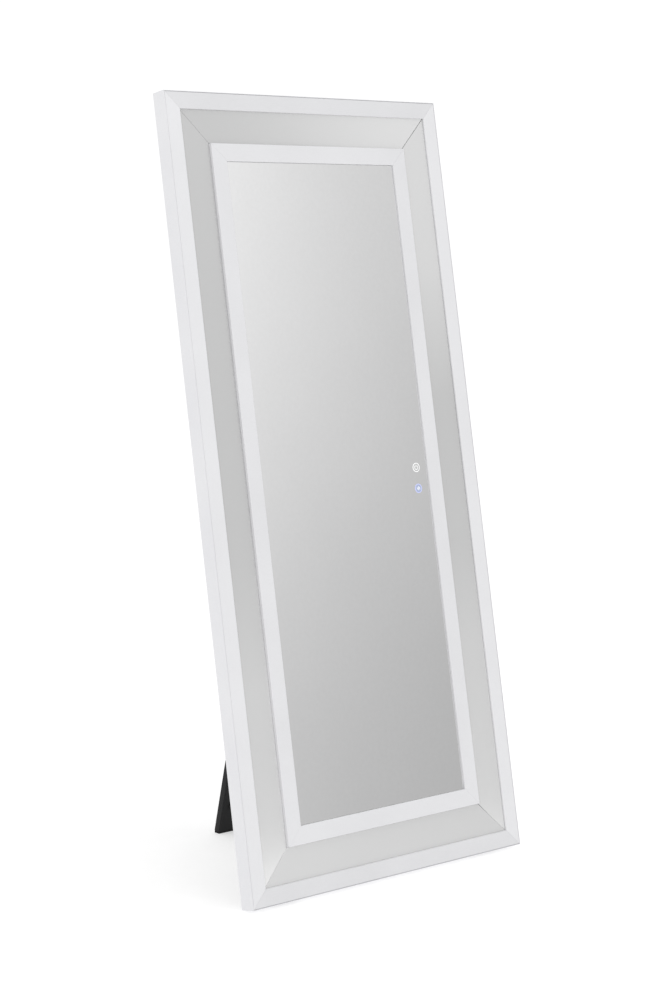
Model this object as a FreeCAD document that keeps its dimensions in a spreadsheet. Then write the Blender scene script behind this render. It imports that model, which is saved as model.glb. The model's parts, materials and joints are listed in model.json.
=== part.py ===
"""Free-standing full-length mirror with a lit inner strip, leaning on a folding rear leg.

The panel is drawn upright: x runs to the right, y from the face (negative) to the back plane (zero) and z
up the panel from its bottom edge. Each sub-part is then leaned back about the panel's rear bottom edge. The
leg and its stay are drawn about their own pivots, in the position they have when the leg is open.
The origin of the whole is on the floor, under the middle of the object's box.
"""
import FreeCAD, Part
import math
import os
import re

import Sketcher
from FreeCAD import Placement, Rotation, Vector

OUTPUT_FOLDER = "parts"
MAX_NODES = 60
CUT_MARGIN = 1e-3

# Driving dimensions: millimetres and degrees.
DRIVING_SIZES = [
    # the panel as a whole
    ("width", 725), ("height", 1600), ("depth", 36), ("lean", 10), ("base_gap", 2),
    # side casing: a rail with a thin lip round the face strip and a rebate for the back panel
    ("rail_width", 30), ("lip_width", 1.8), ("lip_round", 0.8), ("seam", 0.5),
    ("back_rebate", 12), ("back_thick", 3),
    # outer white face strip
    ("trim_width", 36), ("trim_thick", 4), ("trim_edge", 0.7),
    # sloping border mirrors: the upper right mitre stands open, and the lower right one flares open inwards
    ("border_width", 67.5), ("border_depth", 4.1), ("border_drop", 3), ("border_glass", 3),
    ("border_tuck", 4.5), ("edge_gap", 0.3), ("mitre_gap", 0.3), ("mitre_open", 1), ("mitre_flare", 2),
    # inner white strip: a channel-shaped diffuser over the light strips
    ("strip_width", 36), ("strip_depth", 0.5), ("strip_wall", 2.5), ("strip_edge", 0.6),
    # centre mirror and the board behind all the glass
    ("mirror_depth", 4.2), ("mirror_thick", 4), ("board_depth", 14), ("board_thick", 6),
    ("pad_wide", 60), ("pad_tall", 300), ("pad_pitch_x", 140), ("pad_low", 420), ("pad_high", 1180),
    # light strips: a tape with square light packages
    ("tape_width", 10), ("tape_thick", 1), ("package_side", 5), ("package_thick", 1.6),
    ("package_end", 40), ("side_packages", 26), ("end_packages", 10),
    # touch spots and the sensors behind them
    ("touch_x", 192.5), ("touch_light_z", 817), ("touch_sound_z", 773), ("sensor_wide", 30),
    ("sensor_tall", 26), ("neck_wide", 10), ("neck_tall", 8), ("neck_depth", 24), ("hole_gap", 0.5),
    # control box, speakers and inlet, all in the space between the two boards
    ("box_left", 130), ("box_right", 220), ("box_low", 470), ("box_high", 540), ("box_wall", 1.5),
    ("box_depth", 12), ("card_gap", 4), ("card_thick", 1.6), ("card_edge", 3), ("chip_thick", 3),
    ("post_inset", 8), ("post_radius", 2.5),
    ("speaker_x", 200), ("speaker_z", 160), ("speaker_radius", 25), ("cone_radius", 20),
    ("magnet_radius", 13), ("sound_hole", 22), ("grille_radius", 27), ("grille_thick", 1.5),
    ("grille_hole", 1.3), ("grille_rings", 5.6), ("speaker_rim", 2), ("cone_deep", 6), ("cone_hollow", 4),
    ("magnet_deep", 12), ("tag_wide", 10), ("tag_tall", 12), ("tag_sink", 1.5), ("inlet_x", 120),
    ("inlet_z", 70), ("inlet_flange", 8),
    ("inlet_barrel", 5.5), ("inlet_bore", 3.2), ("inlet_pin", 1), ("inlet_deep", 13), ("inlet_lip", 1.6),
    ("bore_deep", 10), ("pin_root", 1), ("feed_z", 620),
    # wiring
    ("wire_radius", 1.2), ("wire_lift", 2), ("clip_side", 8), ("clip_tall", 5.5), ("clip_gap", 0.1),
    ("clip_high", 690), ("clip_middle", 320), ("clip_low", 215), ("touch_lane", 13), ("touch_drop", 16),
    ("touch_rejoin", 34), ("feed_lane", 12), ("inlet_lane", 45), ("inlet_rise", 34), ("inlet_rejoin", 80),
    ("speaker_lane", 15), ("speaker_rise", 100),
    # blocks inside the panel
    ("corner_block", 50), ("backer_wide", 190), ("backer_tall", 80), ("upper_backer_z", 1241),
    # frame feet
    ("foot_x", 270), ("foot_wide", 60), ("foot_front", 14), ("foot_back", 1),
    # leg: a tapered board hinged behind the panel
    ("spread", 22), ("hinge_z", 1210), ("leg_gap", 2), ("leg_thick", 16), ("leg_top_half", 30),
    ("leg_foot_half", 61), ("leg_top_gap", 1), ("leg_edge", 1.5), ("leg_pad", 6), ("cut_over", 5),
    ("bumper_radius", 8), ("bumper_thick", 1.6), ("bumper_x", 35), ("bumper_drop", 1150),
    # hinge
    ("block_half", 50), ("block_tall", 60), ("block_corner", 12), ("leaf_half", 28), ("leaf_tall", 26),
    ("leaf_thick", 1.5), ("knuckle_radius", 3.4), ("knuckle_gap", 0.4), ("leaf_clear", 0.8),
    ("hinge_pin", 1.6), ("pin_fit", 0.05), ("pin_head", 2.6), ("pin_head_thick", 1),
    # folding side stays
    ("stay_drop", 800), ("stay_y", 10), ("arm_thick", 2), ("arm_half", 6), ("leg_arm_x", 55.2),
    ("panel_arm_x", 59.2), ("arm_gap", 0.2), ("rivet_radius", 2.5), ("rivet_head", 4.5),
    ("rivet_head_thick", 1.4), ("rivet_thin_head", 0.7), ("head_gap", 0.1), ("elbow_gap", 0.05),
    ("elbow_radius", 3.5), ("elbow_head", 1),
    ("bracket_thick", 2), ("bracket_half", 14), ("flange_half", 9), ("bracket_wide", 20),
    # wood screws
    ("screw_head", 3.4), ("screw_head_flat", 2.04), ("screw_head_tall", 1.4), ("screw_shank", 1.75),
    ("screw_slot", 0.9), ("screw_slot_deep", 0.8), ("screw_short", 14), ("screw_long", 32), ("pilot_gap", 0.05),
    ("pilot_deep", 13), ("backer_pilot", 12), ("rim_inset", 21), ("rim_end", 64), ("rim_pitch", 368), ("block_screw_x", 38),
    ("block_screw_low", 12), ("block_screw_high", 46), ("leaf_screw_x", 18), ("leaf_screw_rise", 17),
    ("bracket_screw_out", 12.6), ("bracket_screw_rise", 8),
]

# Sizes worked out in the sheet from the driving ones.
DERIVED_SIZES = [
    ("border_inset", "trim_width"),
    ("strip_inset", "trim_width + border_width"),
    ("mirror_inset", "strip_inset + strip_width"),
    ("cavity_depth", "board_depth + board_thick"),
    ("back_depth", "depth - back_thick"),
    ("tape_inset", "strip_inset + strip_width / 2"),
    ("wire_y", "cavity_depth + wire_lift - depth"),
    ("tilt", "spread - lean"),
    ("leg_front", "leg_gap - hinge_y"),
    ("leg_rear", "leg_front + leg_thick"),
    ("axis_high", "hinge_z * cos(lean) - hinge_y * sin(lean) + base_gap"),
    ("leg_heel", "0 - (axis_high + leg_rear * sin(tilt)) / cos(tilt)"),
    ("leg_toe", "0 - (axis_high + leg_front * sin(tilt)) / cos(tilt)"),
    ("reach_back", "hinge_z * sin(lean) + hinge_y * cos(lean) + leg_rear * cos(tilt) - leg_heel * sin(tilt)"),
    ("reach_front", "0 - depth * cos(lean)"),
    ("shift_y", "0 - (reach_back + reach_front) / 2"),
    ("stay_z", "hinge_z - stay_drop"),
    ("stay_offset", "hinge_y - stay_y"),
    ("stay_radius", "sqrt(stay_drop * stay_drop + stay_offset * stay_offset)"),
    ("arm_length", "stay_radius * sin(spread / 2)"),
    ("stay_angle", "spread / 2 - atan(stay_offset / stay_drop) / 1deg"),
]

# Sketch planes: the role of the body's own plane, and whether its normal points along the positive axis.
PLANES = {"XY": ("XY_Plane", True), "XZ": ("XZ_Plane", False), "YZ": ("YZ_Plane", True)}

doc = FreeCAD.newDocument("FloorMirror")
sheet = doc.addObject("Spreadsheet::Sheet", "Sizes")
ALIASES = set()
nodes = []


# ---------------------------------------------------------------- sheet and expressions

def fill_sheet():
    """Write the driving sizes as plain numbers and the derived ones as formulas, each with its alias."""
    hinge_y = ("hinge_y", "leg_gap + leg_thick + knuckle_radius + leaf_clear / 2")
    rows = [(name, str(value)) for name, value in DRIVING_SIZES]
    rows += [(name, "=" + formula) for name, formula in [hinge_y] + DERIVED_SIZES]
    for row, (name, content) in enumerate(rows, start=1):
        sheet.set(f"A{row}", name)
        sheet.set(f"B{row}", content)
        sheet.setAlias(f"B{row}", name)
        ALIASES.add(name)
    doc.recompute()


def bound(text):
    """Return an expression with the sheet's name put before each alias in it."""
    def name_in_sheet(found):
        word = found.group()
        return "Sizes." + word if word in ALIASES else word
    return re.sub(r"[a-z][a-z_0-9]*", name_in_sheet, text)


def size(text):
    """Return the number that an expression in the sheet's aliases comes to."""
    return float(sheet.evalExpression(text))


# ---------------------------------------------------------------- bodies and their features

def put(thing, x="0", y="0", z="0", turn="0"):
    """Place a sub-part whose own origin is at x, y, z of the upright panel, turned about x and leaned."""
    thing.Placement = Placement(Vector(), Rotation(Vector(1, 0, 0), 1))
    thing.setExpression("Placement.Rotation.Angle", bound(f"({turn}) - lean"))
    thing.setExpression("Placement.Base.x", bound(x))
    thing.setExpression("Placement.Base.y", bound(f"({y}) * cos(lean) + ({z}) * sin(lean) + shift_y"))
    thing.setExpression("Placement.Base.z", bound(f"({z}) * cos(lean) - ({y}) * sin(lean) + base_gap"))


def new_body(label, **place):
    """Start a sub-part as a PartDesign body at its place."""
    body = doc.addObject("PartDesign::Body", label)
    body.Label = label
    put(body, **place)
    nodes.append(body)
    return body


def new_sketch(body, plane, level):
    """Start a sketch on one of the body's own planes, moved by level along the positive axis."""
    role, positive = PLANES[plane]
    sketch = body.newObject("Sketcher::SketchObject", body.Name + "_sketch")
    support = [feature for feature in body.Origin.OriginFeatures if feature.Role == role]
    sketch.AttachmentSupport = (support[0], [""])
    sketch.MapMode = "FlatFace"
    sketch.setExpression("AttachmentOffset.Base.z", bound(level if positive else f"-({level})"))
    return sketch


def hold_point(sketch, geometry, point, corner):
    """Bind a point's two distances from the sketch's origin to expressions."""
    for kind, text in zip(("DistanceX", "DistanceY"), corner):
        constraint = sketch.addConstraint(Sketcher.Constraint(kind, -1, 1, geometry, point, size(text)))
        sketch.setExpression(f"Constraints[{constraint}]", bound(text))


def draw_outline(sketch, corners):
    """Draw a closed outline of straight sides through corners given as pairs of expressions."""
    first = sketch.GeometryCount
    points = [Vector(size(across), size(up), 0) for across, up in corners]
    for index, point in enumerate(points):
        sketch.addGeometry(Part.LineSegment(point, points[(index + 1) % len(points)]))
    for index, corner in enumerate(corners):
        following = first + (index + 1) % len(corners)
        sketch.addConstraint(Sketcher.Constraint("Coincident", first + index, 2, following, 1))
        hold_point(sketch, first + index, 1, corner)


def draw_circles(sketch, centres, radius):
    """Draw equal circles at centres given as pairs of expressions."""
    for centre in centres:
        middle = Vector(size(centre[0]), size(centre[1]), 0)
        circle = sketch.addGeometry(Part.Circle(middle, Vector(0, 0, 1), size(radius)))
        hold_point(sketch, circle, 3, centre)
        constraint = sketch.addConstraint(Sketcher.Constraint("Radius", circle, size(radius)))
        sketch.setExpression(f"Constraints[{constraint}]", bound(radius))


def extrude(body, sketch, plane, low, high, remove):
    """Pad a sketch, or cut with it, from low to high along the plane's positive axis."""
    positive = PLANES[plane][1]
    if not remove:
        feature = body.newObject("PartDesign::Pad", body.Name + "_pad")
        feature.Reversed = not positive
    else:
        doc.recompute()
        before = body.Shape.Volume
        feature = body.newObject("PartDesign::Pocket", body.Name + "_cut")
        feature.Reversed = positive
    feature.Profile = sketch
    feature.setExpression("Length", bound(f"({high}) - ({low})"))
    if remove:
        doc.recompute()
        if body.Shape.Volume > before - CUT_MARGIN:
            raise RuntimeError(f"{body.Label}: a cut removed nothing")
    return feature


def prism(body, plane, corners, low, high, remove=False):
    """Add or cut a straight-sided prism that runs from low to high across a plane."""
    sketch = new_sketch(body, plane, low)
    draw_outline(sketch, corners)
    return extrude(body, sketch, plane, low, high, remove)


def discs(body, plane, centres, radius, low, high, remove=False):
    """Add or cut round bars or holes that run from low to high across a plane."""
    sketch = new_sketch(body, plane, low)
    draw_circles(sketch, centres, radius)
    return extrude(body, sketch, plane, low, high, remove)


def rectangle(across_low, across_high, up_low, up_high):
    """Return the corners of a rectangle."""
    return [(across_low, up_low), (across_high, up_low), (across_high, up_high), (across_low, up_high)]


def row_of(body, feature, axis, length, count):
    """Repeat a feature in a row along its sketch's H_Axis or V_Axis."""
    pattern = body.newObject("PartDesign::LinearPattern", body.Name + "_row")
    pattern.Originals = [feature]
    pattern.Direction = (feature.Profile[0], [axis])
    pattern.setExpression("Length", bound(length))
    pattern.Occurrences = round(size(count))
    body.Tip = pattern
    doc.recompute()


def round_edges(body, radius, wanted):
    """Round the edges of a body that a test picks."""
    doc.recompute()
    base = body.Tip
    names = [f"Edge{number}" for number, edge in enumerate(base.Shape.Edges, start=1) if wanted(edge)]
    fillet = body.newObject("PartDesign::Fillet", body.Name + "_round")
    fillet.Base = (base, names)
    fillet.setExpression("Radius", bound(radius))


def mirrored(text, side):
    """Return an expression for the right-hand side, or its mirror image for the left."""
    return text if side == "right" else f"-({text})"


def sided(side, low, high):
    """Return the low and high ends of a span given for the right-hand side."""
    return (low, high) if side == "right" else (f"-({high})", f"-({low})")


# ---------------------------------------------------------------- the mitred frame

def across_panel(side, inset, along):
    """Return panel x and z for a distance in from one side's outer edge and a distance along it."""
    return {
        "left": (f"({inset}) - width / 2", along),
        "right": (f"width / 2 - ({inset})", along),
        "bottom": (along, inset),
        "top": (along, f"height - ({inset})"),
    }[side]


def mitre_cut(side, end, gap, wide_gap, flare):
    """Return the outline, as inset and distance along, that cuts one end of a frame side at 45 degrees.

    Half of the gap is taken off. The upper right corner has the wide gap instead, and the lower right corner
    opens from the middle of the border inwards until it is wider by the flare.
    """
    upright = side in ("left", "right")
    across = side if upright else {"low": "left", "high": "right"}[end]
    level = {"low": "bottom", "high": "top"}[end] if upright else side
    opened = wide_gap if (level, across) == ("top", "right") else gap
    recess = f"({opened}) * sqrt(2) / 2"
    reach = "mirror_inset + 1"
    if (level, across) == ("bottom", "right") and flare != "0":
        middle = "border_inset + border_width / 2"
        slope = [(reach, f"{reach} + {recess} + {flare} * sqrt(2) / 2"), (middle, f"{middle} + {recess}")]
    else:
        slope = [(reach, f"{reach} + {recess}")]
    return [("-1", "-2"), (reach, "-2")] + slope + [("-1", f"{recess} - 1")]


def mitred_bar(label, side, section, gap="0", wide_gap="0", flare="0"):
    """Make one side of a four-sided frame.

    The section is a list of inset and depth: the distance in from the panel's outer edge, and the distance
    behind its face. It is run along the side, and both ends are cut at 45 degrees.
    """
    body = new_body(label)
    upright = side in ("left", "right")
    if upright:
        corners = [(across_panel(side, inset, "0")[0], f"({depth}) - depth") for inset, depth in section]
        prism(body, "XY", corners, "0", "height")
    else:
        corners = [(f"({depth}) - depth", across_panel(side, inset, "0")[1]) for inset, depth in section]
        prism(body, "YZ", corners, "-width / 2", "width / 2")
    for end in ("low", "high"):
        corners = []
        for inset, along in mitre_cut(side, end, gap, wide_gap, flare):
            if upright:
                place = along if end == "low" else f"height - ({along})"
            else:
                place = f"({along}) - width / 2" if end == "low" else f"width / 2 - ({along})"
            corners.append(across_panel(side, inset, place))
        prism(body, "XZ", corners, "-depth - 1", "1", remove=True)
    return body


RAIL_SECTION = [
    ("0", "lip_round"), ("lip_round / 3", "lip_round / 3"), ("lip_round", "0"), ("lip_width", "0"),
    ("lip_width", "trim_thick"), ("rail_width", "trim_thick"), ("rail_width", "back_depth"),
    ("back_rebate", "back_depth"), ("back_rebate", "depth"), ("0", "depth"),
]
TRIM_SECTION = [
    ("lip_width + seam", "trim_edge"), ("lip_width + seam + trim_edge", "0"), ("trim_width - trim_edge", "0"),
    ("trim_width", "trim_edge"), ("trim_width", "trim_thick"), ("lip_width + seam", "trim_thick"),
]
BORDER_SECTION = [
    ("border_inset - border_tuck", "border_depth"),
    ("strip_inset - edge_gap", "border_depth + border_drop"),
    ("strip_inset - edge_gap", "border_depth + border_drop + border_glass"),
    ("border_inset - border_tuck", "border_depth + border_glass"),
]
BED_SECTION = [
    ("border_inset - border_tuck", "border_depth + border_glass"),
    ("strip_inset - edge_gap", "border_depth + border_drop + border_glass"),
    ("strip_inset - edge_gap", "board_depth"),
    ("border_inset - border_tuck", "board_depth"),
]
DIFFUSER_SECTION = [
    ("strip_inset", "strip_depth + strip_edge"), ("strip_inset + strip_edge", "strip_depth"),
    ("mirror_inset - strip_edge", "strip_depth"), ("mirror_inset", "strip_depth + strip_edge"),
    ("mirror_inset", "board_depth"), ("mirror_inset - strip_wall", "board_depth"),
    ("mirror_inset - strip_wall", "strip_depth + strip_wall"),
    ("strip_inset + strip_wall", "strip_depth + strip_wall"),
    ("strip_inset + strip_wall", "board_depth"), ("strip_inset", "board_depth"),
]


def make_frame():
    """Make the four-sided layers of the panel, from the casing in to the diffuser."""
    for side in ("left", "right", "top", "bottom"):
        rail = mitred_bar(f"casing_rail_{side}", side, RAIL_SECTION)
        drill_rim(rail, side)
        mitred_bar(f"face_trim_{side}", side, TRIM_SECTION)
        mitred_bar(f"border_mirror_{side}", side, BORDER_SECTION, "mitre_gap", "mitre_open", "mitre_flare")
        mitred_bar(f"border_bed_{side}", side, BED_SECTION)
        mitred_bar(f"diffuser_{side}", side, DIFFUSER_SECTION)


# ---------------------------------------------------------------- screws and their holes

UPRIGHT_RIM = ["rim_end", "height / 2 - rim_pitch", "height / 2", "height / 2 + rim_pitch", "height - rim_end"]
LEVEL_RIM = ["-width / 5", "width / 5"]
BLOCK_SPOTS = [(x, rise) for rise in ("block_screw_low", "block_screw_high")
               for x in ("-block_screw_x", "block_screw_x")]
LEAF_SPOTS = [(x, "leaf_screw_rise") for x in ("-leaf_screw_x", "0", "leaf_screw_x")]
BRACKET_RISES = ["-bracket_screw_rise", "bracket_screw_rise"]


def rim_spots(side):
    """Return the screw places on one rail, as panel x and z."""
    alongs = UPRIGHT_RIM if side in ("left", "right") else LEVEL_RIM
    return [across_panel(side, "rim_inset", along) for along in alongs]


def all_rim_spots():
    """Return every screw place round the back panel."""
    return [spot for side in ("left", "right", "top", "bottom") for spot in rim_spots(side)]


def block_spots():
    """Return the hinge block's screw places, as panel x and z."""
    return [(x, f"hinge_z + {rise}") for x, rise in BLOCK_SPOTS]


def bracket_spots(middle_x, middle_z):
    """Return the screw places of a left and a right bracket whose plates are centred on middle_x."""
    return [(mirrored(middle_x, side), f"{middle_z} + ({rise})")
            for side in ("left", "right") for rise in BRACKET_RISES]


PANEL_BRACKET_X = "panel_arm_x + arm_thick + arm_gap + bracket_screw_out"
LEG_BRACKET_X = "leg_arm_x - arm_gap - bracket_screw_out"


def drill(body, spots, low, high, radius="screw_shank + pilot_gap"):
    """Cut a hole at each spot, from low to high along y."""
    discs(body, "XZ", spots, radius, low, high, remove=True)


def drill_rim(rail, side):
    """Cut the pilot holes for the back panel's screws in one rail."""
    drill(rail, rim_spots(side), "back_depth - depth - pilot_deep", "0")


def make_screw_pattern(length):
    """Build one wood screw with a domed, cross-slotted head, its seat at the origin and its head to +z."""
    head = doc.addObject("Part::Cone", "ScrewHead")
    head.setExpression("Radius1", bound("screw_head"))
    head.setExpression("Radius2", bound("screw_head_flat"))
    head.setExpression("Height", bound("screw_head_tall"))
    shank = doc.addObject("Part::Cylinder", "ScrewShank")
    shank.setExpression("Radius", bound("screw_shank"))
    shank.setExpression("Height", bound(length))
    shank.setExpression("Placement.Base.z", bound(f"-({length})"))
    slots = []
    for across, along in (("screw_slot", "screw_head"), ("screw_head", "screw_slot")):
        slot = doc.addObject("Part::Box", "ScrewSlot")
        slot.setExpression("Length", bound(across))
        slot.setExpression("Width", bound(along))
        slot.setExpression("Height", bound("screw_slot_deep"))
        slot.setExpression("Placement.Base.x", bound(f"-{across} / 2"))
        slot.setExpression("Placement.Base.y", bound(f"-{along} / 2"))
        slot.setExpression("Placement.Base.z", bound("screw_head_tall - screw_slot_deep"))
        slots.append(slot)
    cross = fuse("ScrewCross", slots)
    whole = fuse("ScrewBlank", [head, shank])
    screw = doc.addObject("Part::Cut", "Screw")
    screw.Base = whole
    screw.Tool = cross
    return screw


def fuse(name, pieces):
    """Join Part objects into one."""
    joined = doc.addObject("Part::MultiFuse", name)
    joined.Shapes = pieces
    return joined


def make_screws(label, groups, **place):
    """Make one node of separate screws; each group is a list of x, z spots, their seat's y and a length."""
    patterns = [make_screw_pattern(length) for spots, seat, length in groups]
    doc.recompute()
    towards_back = Rotation(Vector(1, 0, 0), -90)
    solids = []
    for (spots, seat, length), pattern in zip(groups, patterns):
        for x, z in spots:
            screw = pattern.Shape.copy()
            screw.Placement = Placement(Vector(size(x), size(seat), size(z)), towards_back)
            solids.append(screw)
    node = doc.addObject("Part::Feature", label)
    node.Label = label
    node.Shape = Part.makeCompound(solids)
    put(node, **place)
    nodes.append(node)


# ---------------------------------------------------------------- inside the panel

def slab(label, corners, low, high, **place):
    """Make a flat piece from its outline in x and z and its low and high y."""
    body = new_body(label, **place)
    prism(body, "XZ", corners, low, high)
    return body


def inner_rectangle(inset):
    """Return the corners of a rectangle a fixed distance inside the panel's outer edge."""
    return rectangle(f"({inset}) - width / 2", f"width / 2 - ({inset})", inset, f"height - ({inset})")


def centred(x, z, wide, tall):
    """Return the corners of a rectangle about a centre."""
    return rectangle(f"({x}) - ({wide}) / 2", f"({x}) + ({wide}) / 2",
                     f"({z}) - ({tall}) / 2", f"({z}) + ({tall}) / 2")


def make_glass_and_boards():
    """Make the centre mirror, what holds it, the support board and the back panel."""
    slab("centre_mirror", inner_rectangle("mirror_inset + edge_gap"),
         "mirror_depth - depth", "mirror_depth + mirror_thick - depth")

    pads = new_body("mirror_foam_pads")
    for column in ("-pad_pitch_x", "0", "pad_pitch_x"):
        for middle in ("pad_low", "pad_high"):
            prism(pads, "XZ", centred(column, middle, "pad_wide", "pad_tall"),
                  "mirror_depth + mirror_thick - depth", "board_depth - depth")

    board = slab("support_board", inner_rectangle("rail_width"), "board_depth - depth", "cavity_depth - depth")
    for middle in ("touch_light_z", "touch_sound_z"):
        prism(board, "XZ", centred("touch_x", middle, "neck_wide + 2 * hole_gap", "neck_tall + 2 * hole_gap"),
              "board_depth - depth", "cavity_depth - depth", remove=True)
    prism(board, "XZ", centred(FEED_X, "feed_z", "neck_wide + 2 * hole_gap", "neck_tall + 2 * hole_gap"),
          "board_depth - depth", "cavity_depth - depth", remove=True)

    back = slab("back_panel", inner_rectangle("back_rebate + edge_gap"), "-back_thick", "0")
    drill(back, all_rim_spots() + block_spots() + bracket_spots(PANEL_BRACKET_X, "stay_z"), "-back_thick", "0")
    drill(back, [("-speaker_x", "speaker_z"), ("speaker_x", "speaker_z")], "-back_thick", "0", "sound_hole")
    drill(back, [("inlet_x", "inlet_z")], "-back_thick", "0", "inlet_barrel + edge_gap")
    make_screws("back_panel_screws", [(all_rim_spots(), "0", "screw_short")])

    corners = new_body("corner_blocks")
    for side in ("left", "right"):
        for level in ("bottom", "top"):
            block = [("rail_width", "rail_width"), ("rail_width + corner_block", "rail_width"),
                     ("rail_width", "rail_width + corner_block")]
            outline = [(across_panel(side, inset, "0")[0], across_panel(level, rise, "0")[1])
                       for inset, rise in block]
            prism(corners, "XZ", outline, "cavity_depth - depth", "-back_thick")

    backers = new_body("backer_blocks")
    for middle in ("upper_backer_z", "stay_z"):
        prism(backers, "XZ", centred("0", middle, "backer_wide", "backer_tall"),
              "cavity_depth - depth", "-back_thick")
    drill(backers, block_spots() + bracket_spots(PANEL_BRACKET_X, "stay_z"),
          "-back_thick - backer_pilot", "-back_thick")


FEED_X = "width / 2 - tape_inset"


def make_light_strips():
    """Make the four light tapes inside the diffuser channels, with their packages and feed connector."""
    tapes = new_body("light_strips")
    front = "board_depth - tape_thick - depth"
    for side in ("left", "right"):
        middle = across_panel(side, "tape_inset", "0")[0]
        run = "height - 2 * tape_inset - 2 * tape_width"
        prism(tapes, "XZ", centred(middle, "height / 2", "tape_width", run), front, "board_depth - depth")
        first = prism(tapes, "XZ", centred(middle, "tape_inset + package_end", "package_side", "package_side"),
                      f"{front} - package_thick", front)
        row_of(tapes, first, "V_Axis", "height - 2 * tape_inset - 2 * package_end", "side_packages")
    for side in ("bottom", "top"):
        middle = across_panel(side, "tape_inset", "0")[1]
        prism(tapes, "XZ", centred("0", middle, "width - 2 * tape_inset - 2 * tape_width", "tape_width"),
              front, "board_depth - depth")
        first = prism(tapes, "XZ", centred("tape_inset + package_end - width / 2", middle, "package_side",
                                           "package_side"), f"{front} - package_thick", front)
        row_of(tapes, first, "H_Axis", "width - 2 * tape_inset - 2 * package_end", "end_packages")
    prism(tapes, "XZ", centred(FEED_X, "feed_z", "neck_wide", "neck_tall"),
          "board_depth - depth", "neck_depth - depth")


def make_touch_sensors():
    """Make the two touch sensors, stuck behind the mirror, with necks that reach through the board."""
    for name, middle in (("light", "touch_light_z"), ("sound", "touch_sound_z")):
        sensor = slab(f"touch_sensor_{name}", centred("touch_x", middle, "sensor_wide", "sensor_tall"),
                      "mirror_depth + mirror_thick - depth", "board_depth - edge_gap - depth")
        prism(sensor, "XZ", centred("touch_x", middle, "neck_wide", "neck_tall"),
              "board_depth - edge_gap - depth", "neck_depth - depth")


# The card's chips: centre from the box's left and lower edges, then width and height.
CARD_CHIPS = [(20, 22, 14, 14), (46, 40, 10, 10), (70, 24, 12, 20)]


def make_control_box():
    """Make the power and sound box between the boards: a tray, its lid and the card inside."""
    low, high = "cavity_depth - depth", "cavity_depth + box_depth - depth"
    outline = rectangle("box_left", "box_right", "box_low", "box_high")
    room = rectangle("box_left + box_wall", "box_right - box_wall", "box_low + box_wall", "box_high - box_wall")
    tray = slab("control_box_base", outline, low, f"{high} - box_wall")
    prism(tray, "XZ", room, f"{low} + box_wall", f"{high} - box_wall", remove=True)
    slab("control_box_lid", outline, f"{high} - box_wall", high)

    card_low = f"{low} + card_gap"
    card_face = f"{card_low} + card_thick"
    card = slab("control_card", rectangle("box_left + card_edge", "box_right - card_edge",
                                          "box_low + card_edge", "box_high - card_edge"), card_low, card_face)
    for x, z, wide, tall in CARD_CHIPS:
        chip = centred(f"box_left + {x}", f"box_low + {z}", f"{wide}", f"{tall}")
        prism(card, "XZ", chip, card_face, f"{card_face} + chip_thick")
    posts = [(x, z) for z in ("box_low + post_inset", "box_high - post_inset")
             for x in ("box_left + post_inset", "box_right - post_inset")]
    discs(tray, "XZ", posts, "post_radius", f"{low} + box_wall", card_low)


def make_speakers():
    """Make the two speakers behind their openings in the back panel, and the grilles outside."""
    for side in ("left", "right"):
        place = {"x": mirrored("speaker_x", side), "z": "speaker_z"}
        speaker = new_body(f"speaker_{side}", **place)
        middle = [("0", "0")]
        rim, cone = "-back_thick - speaker_rim", "-back_thick - cone_deep"
        discs(speaker, "XZ", middle, "speaker_radius", rim, "-back_thick")
        discs(speaker, "XZ", middle, "cone_radius", cone, rim)
        discs(speaker, "XZ", middle, "magnet_radius", "-back_thick - magnet_deep", cone)
        discs(speaker, "XZ", middle, "cone_radius - speaker_rim", "-back_thick - cone_hollow", "-back_thick",
              remove=True)
        prism(speaker, "XZ", centred("0", "cone_radius", "tag_wide", "tag_tall"), "wire_y - tag_sink", rim)

        grille = new_body(f"speaker_grille_{side}", **place)
        discs(grille, "XZ", middle, "grille_radius", "0", "grille_thick")
        ring_holes = list(middle)
        for ring in (1, 2, 3, 4):
            for step in range(6 * ring):
                angle = 360 * step / (6 * ring)
                reach = f"{ring} * grille_radius / grille_rings"
                ring_holes.append((f"{reach} * cos({angle:g})", f"{reach} * sin({angle:g})"))
        drill(grille, ring_holes, "0", "grille_thick", "grille_hole")


def make_inlet():
    """Make the round low-voltage power socket in the back panel."""
    inlet = new_body("power_inlet", x="inlet_x", z="inlet_z")
    discs(inlet, "XZ", [("0", "0")], "inlet_barrel", "-inlet_deep", "0")
    discs(inlet, "XZ", [("0", "0")], "inlet_flange", "0", "inlet_lip")
    discs(inlet, "XZ", [("0", "0")], "inlet_bore", "-bore_deep", "inlet_lip", remove=True)
    discs(inlet, "XZ", [("0", "0")], "inlet_pin", "-bore_deep - pin_root", "-pin_root")
    prism(inlet, "XZ", centred("0", "inlet_flange / 2", "inlet_flange", "inlet_flange"),
          "wire_y - tag_sink", "-bore_deep - pin_root")


# ---------------------------------------------------------------- wiring

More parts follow.
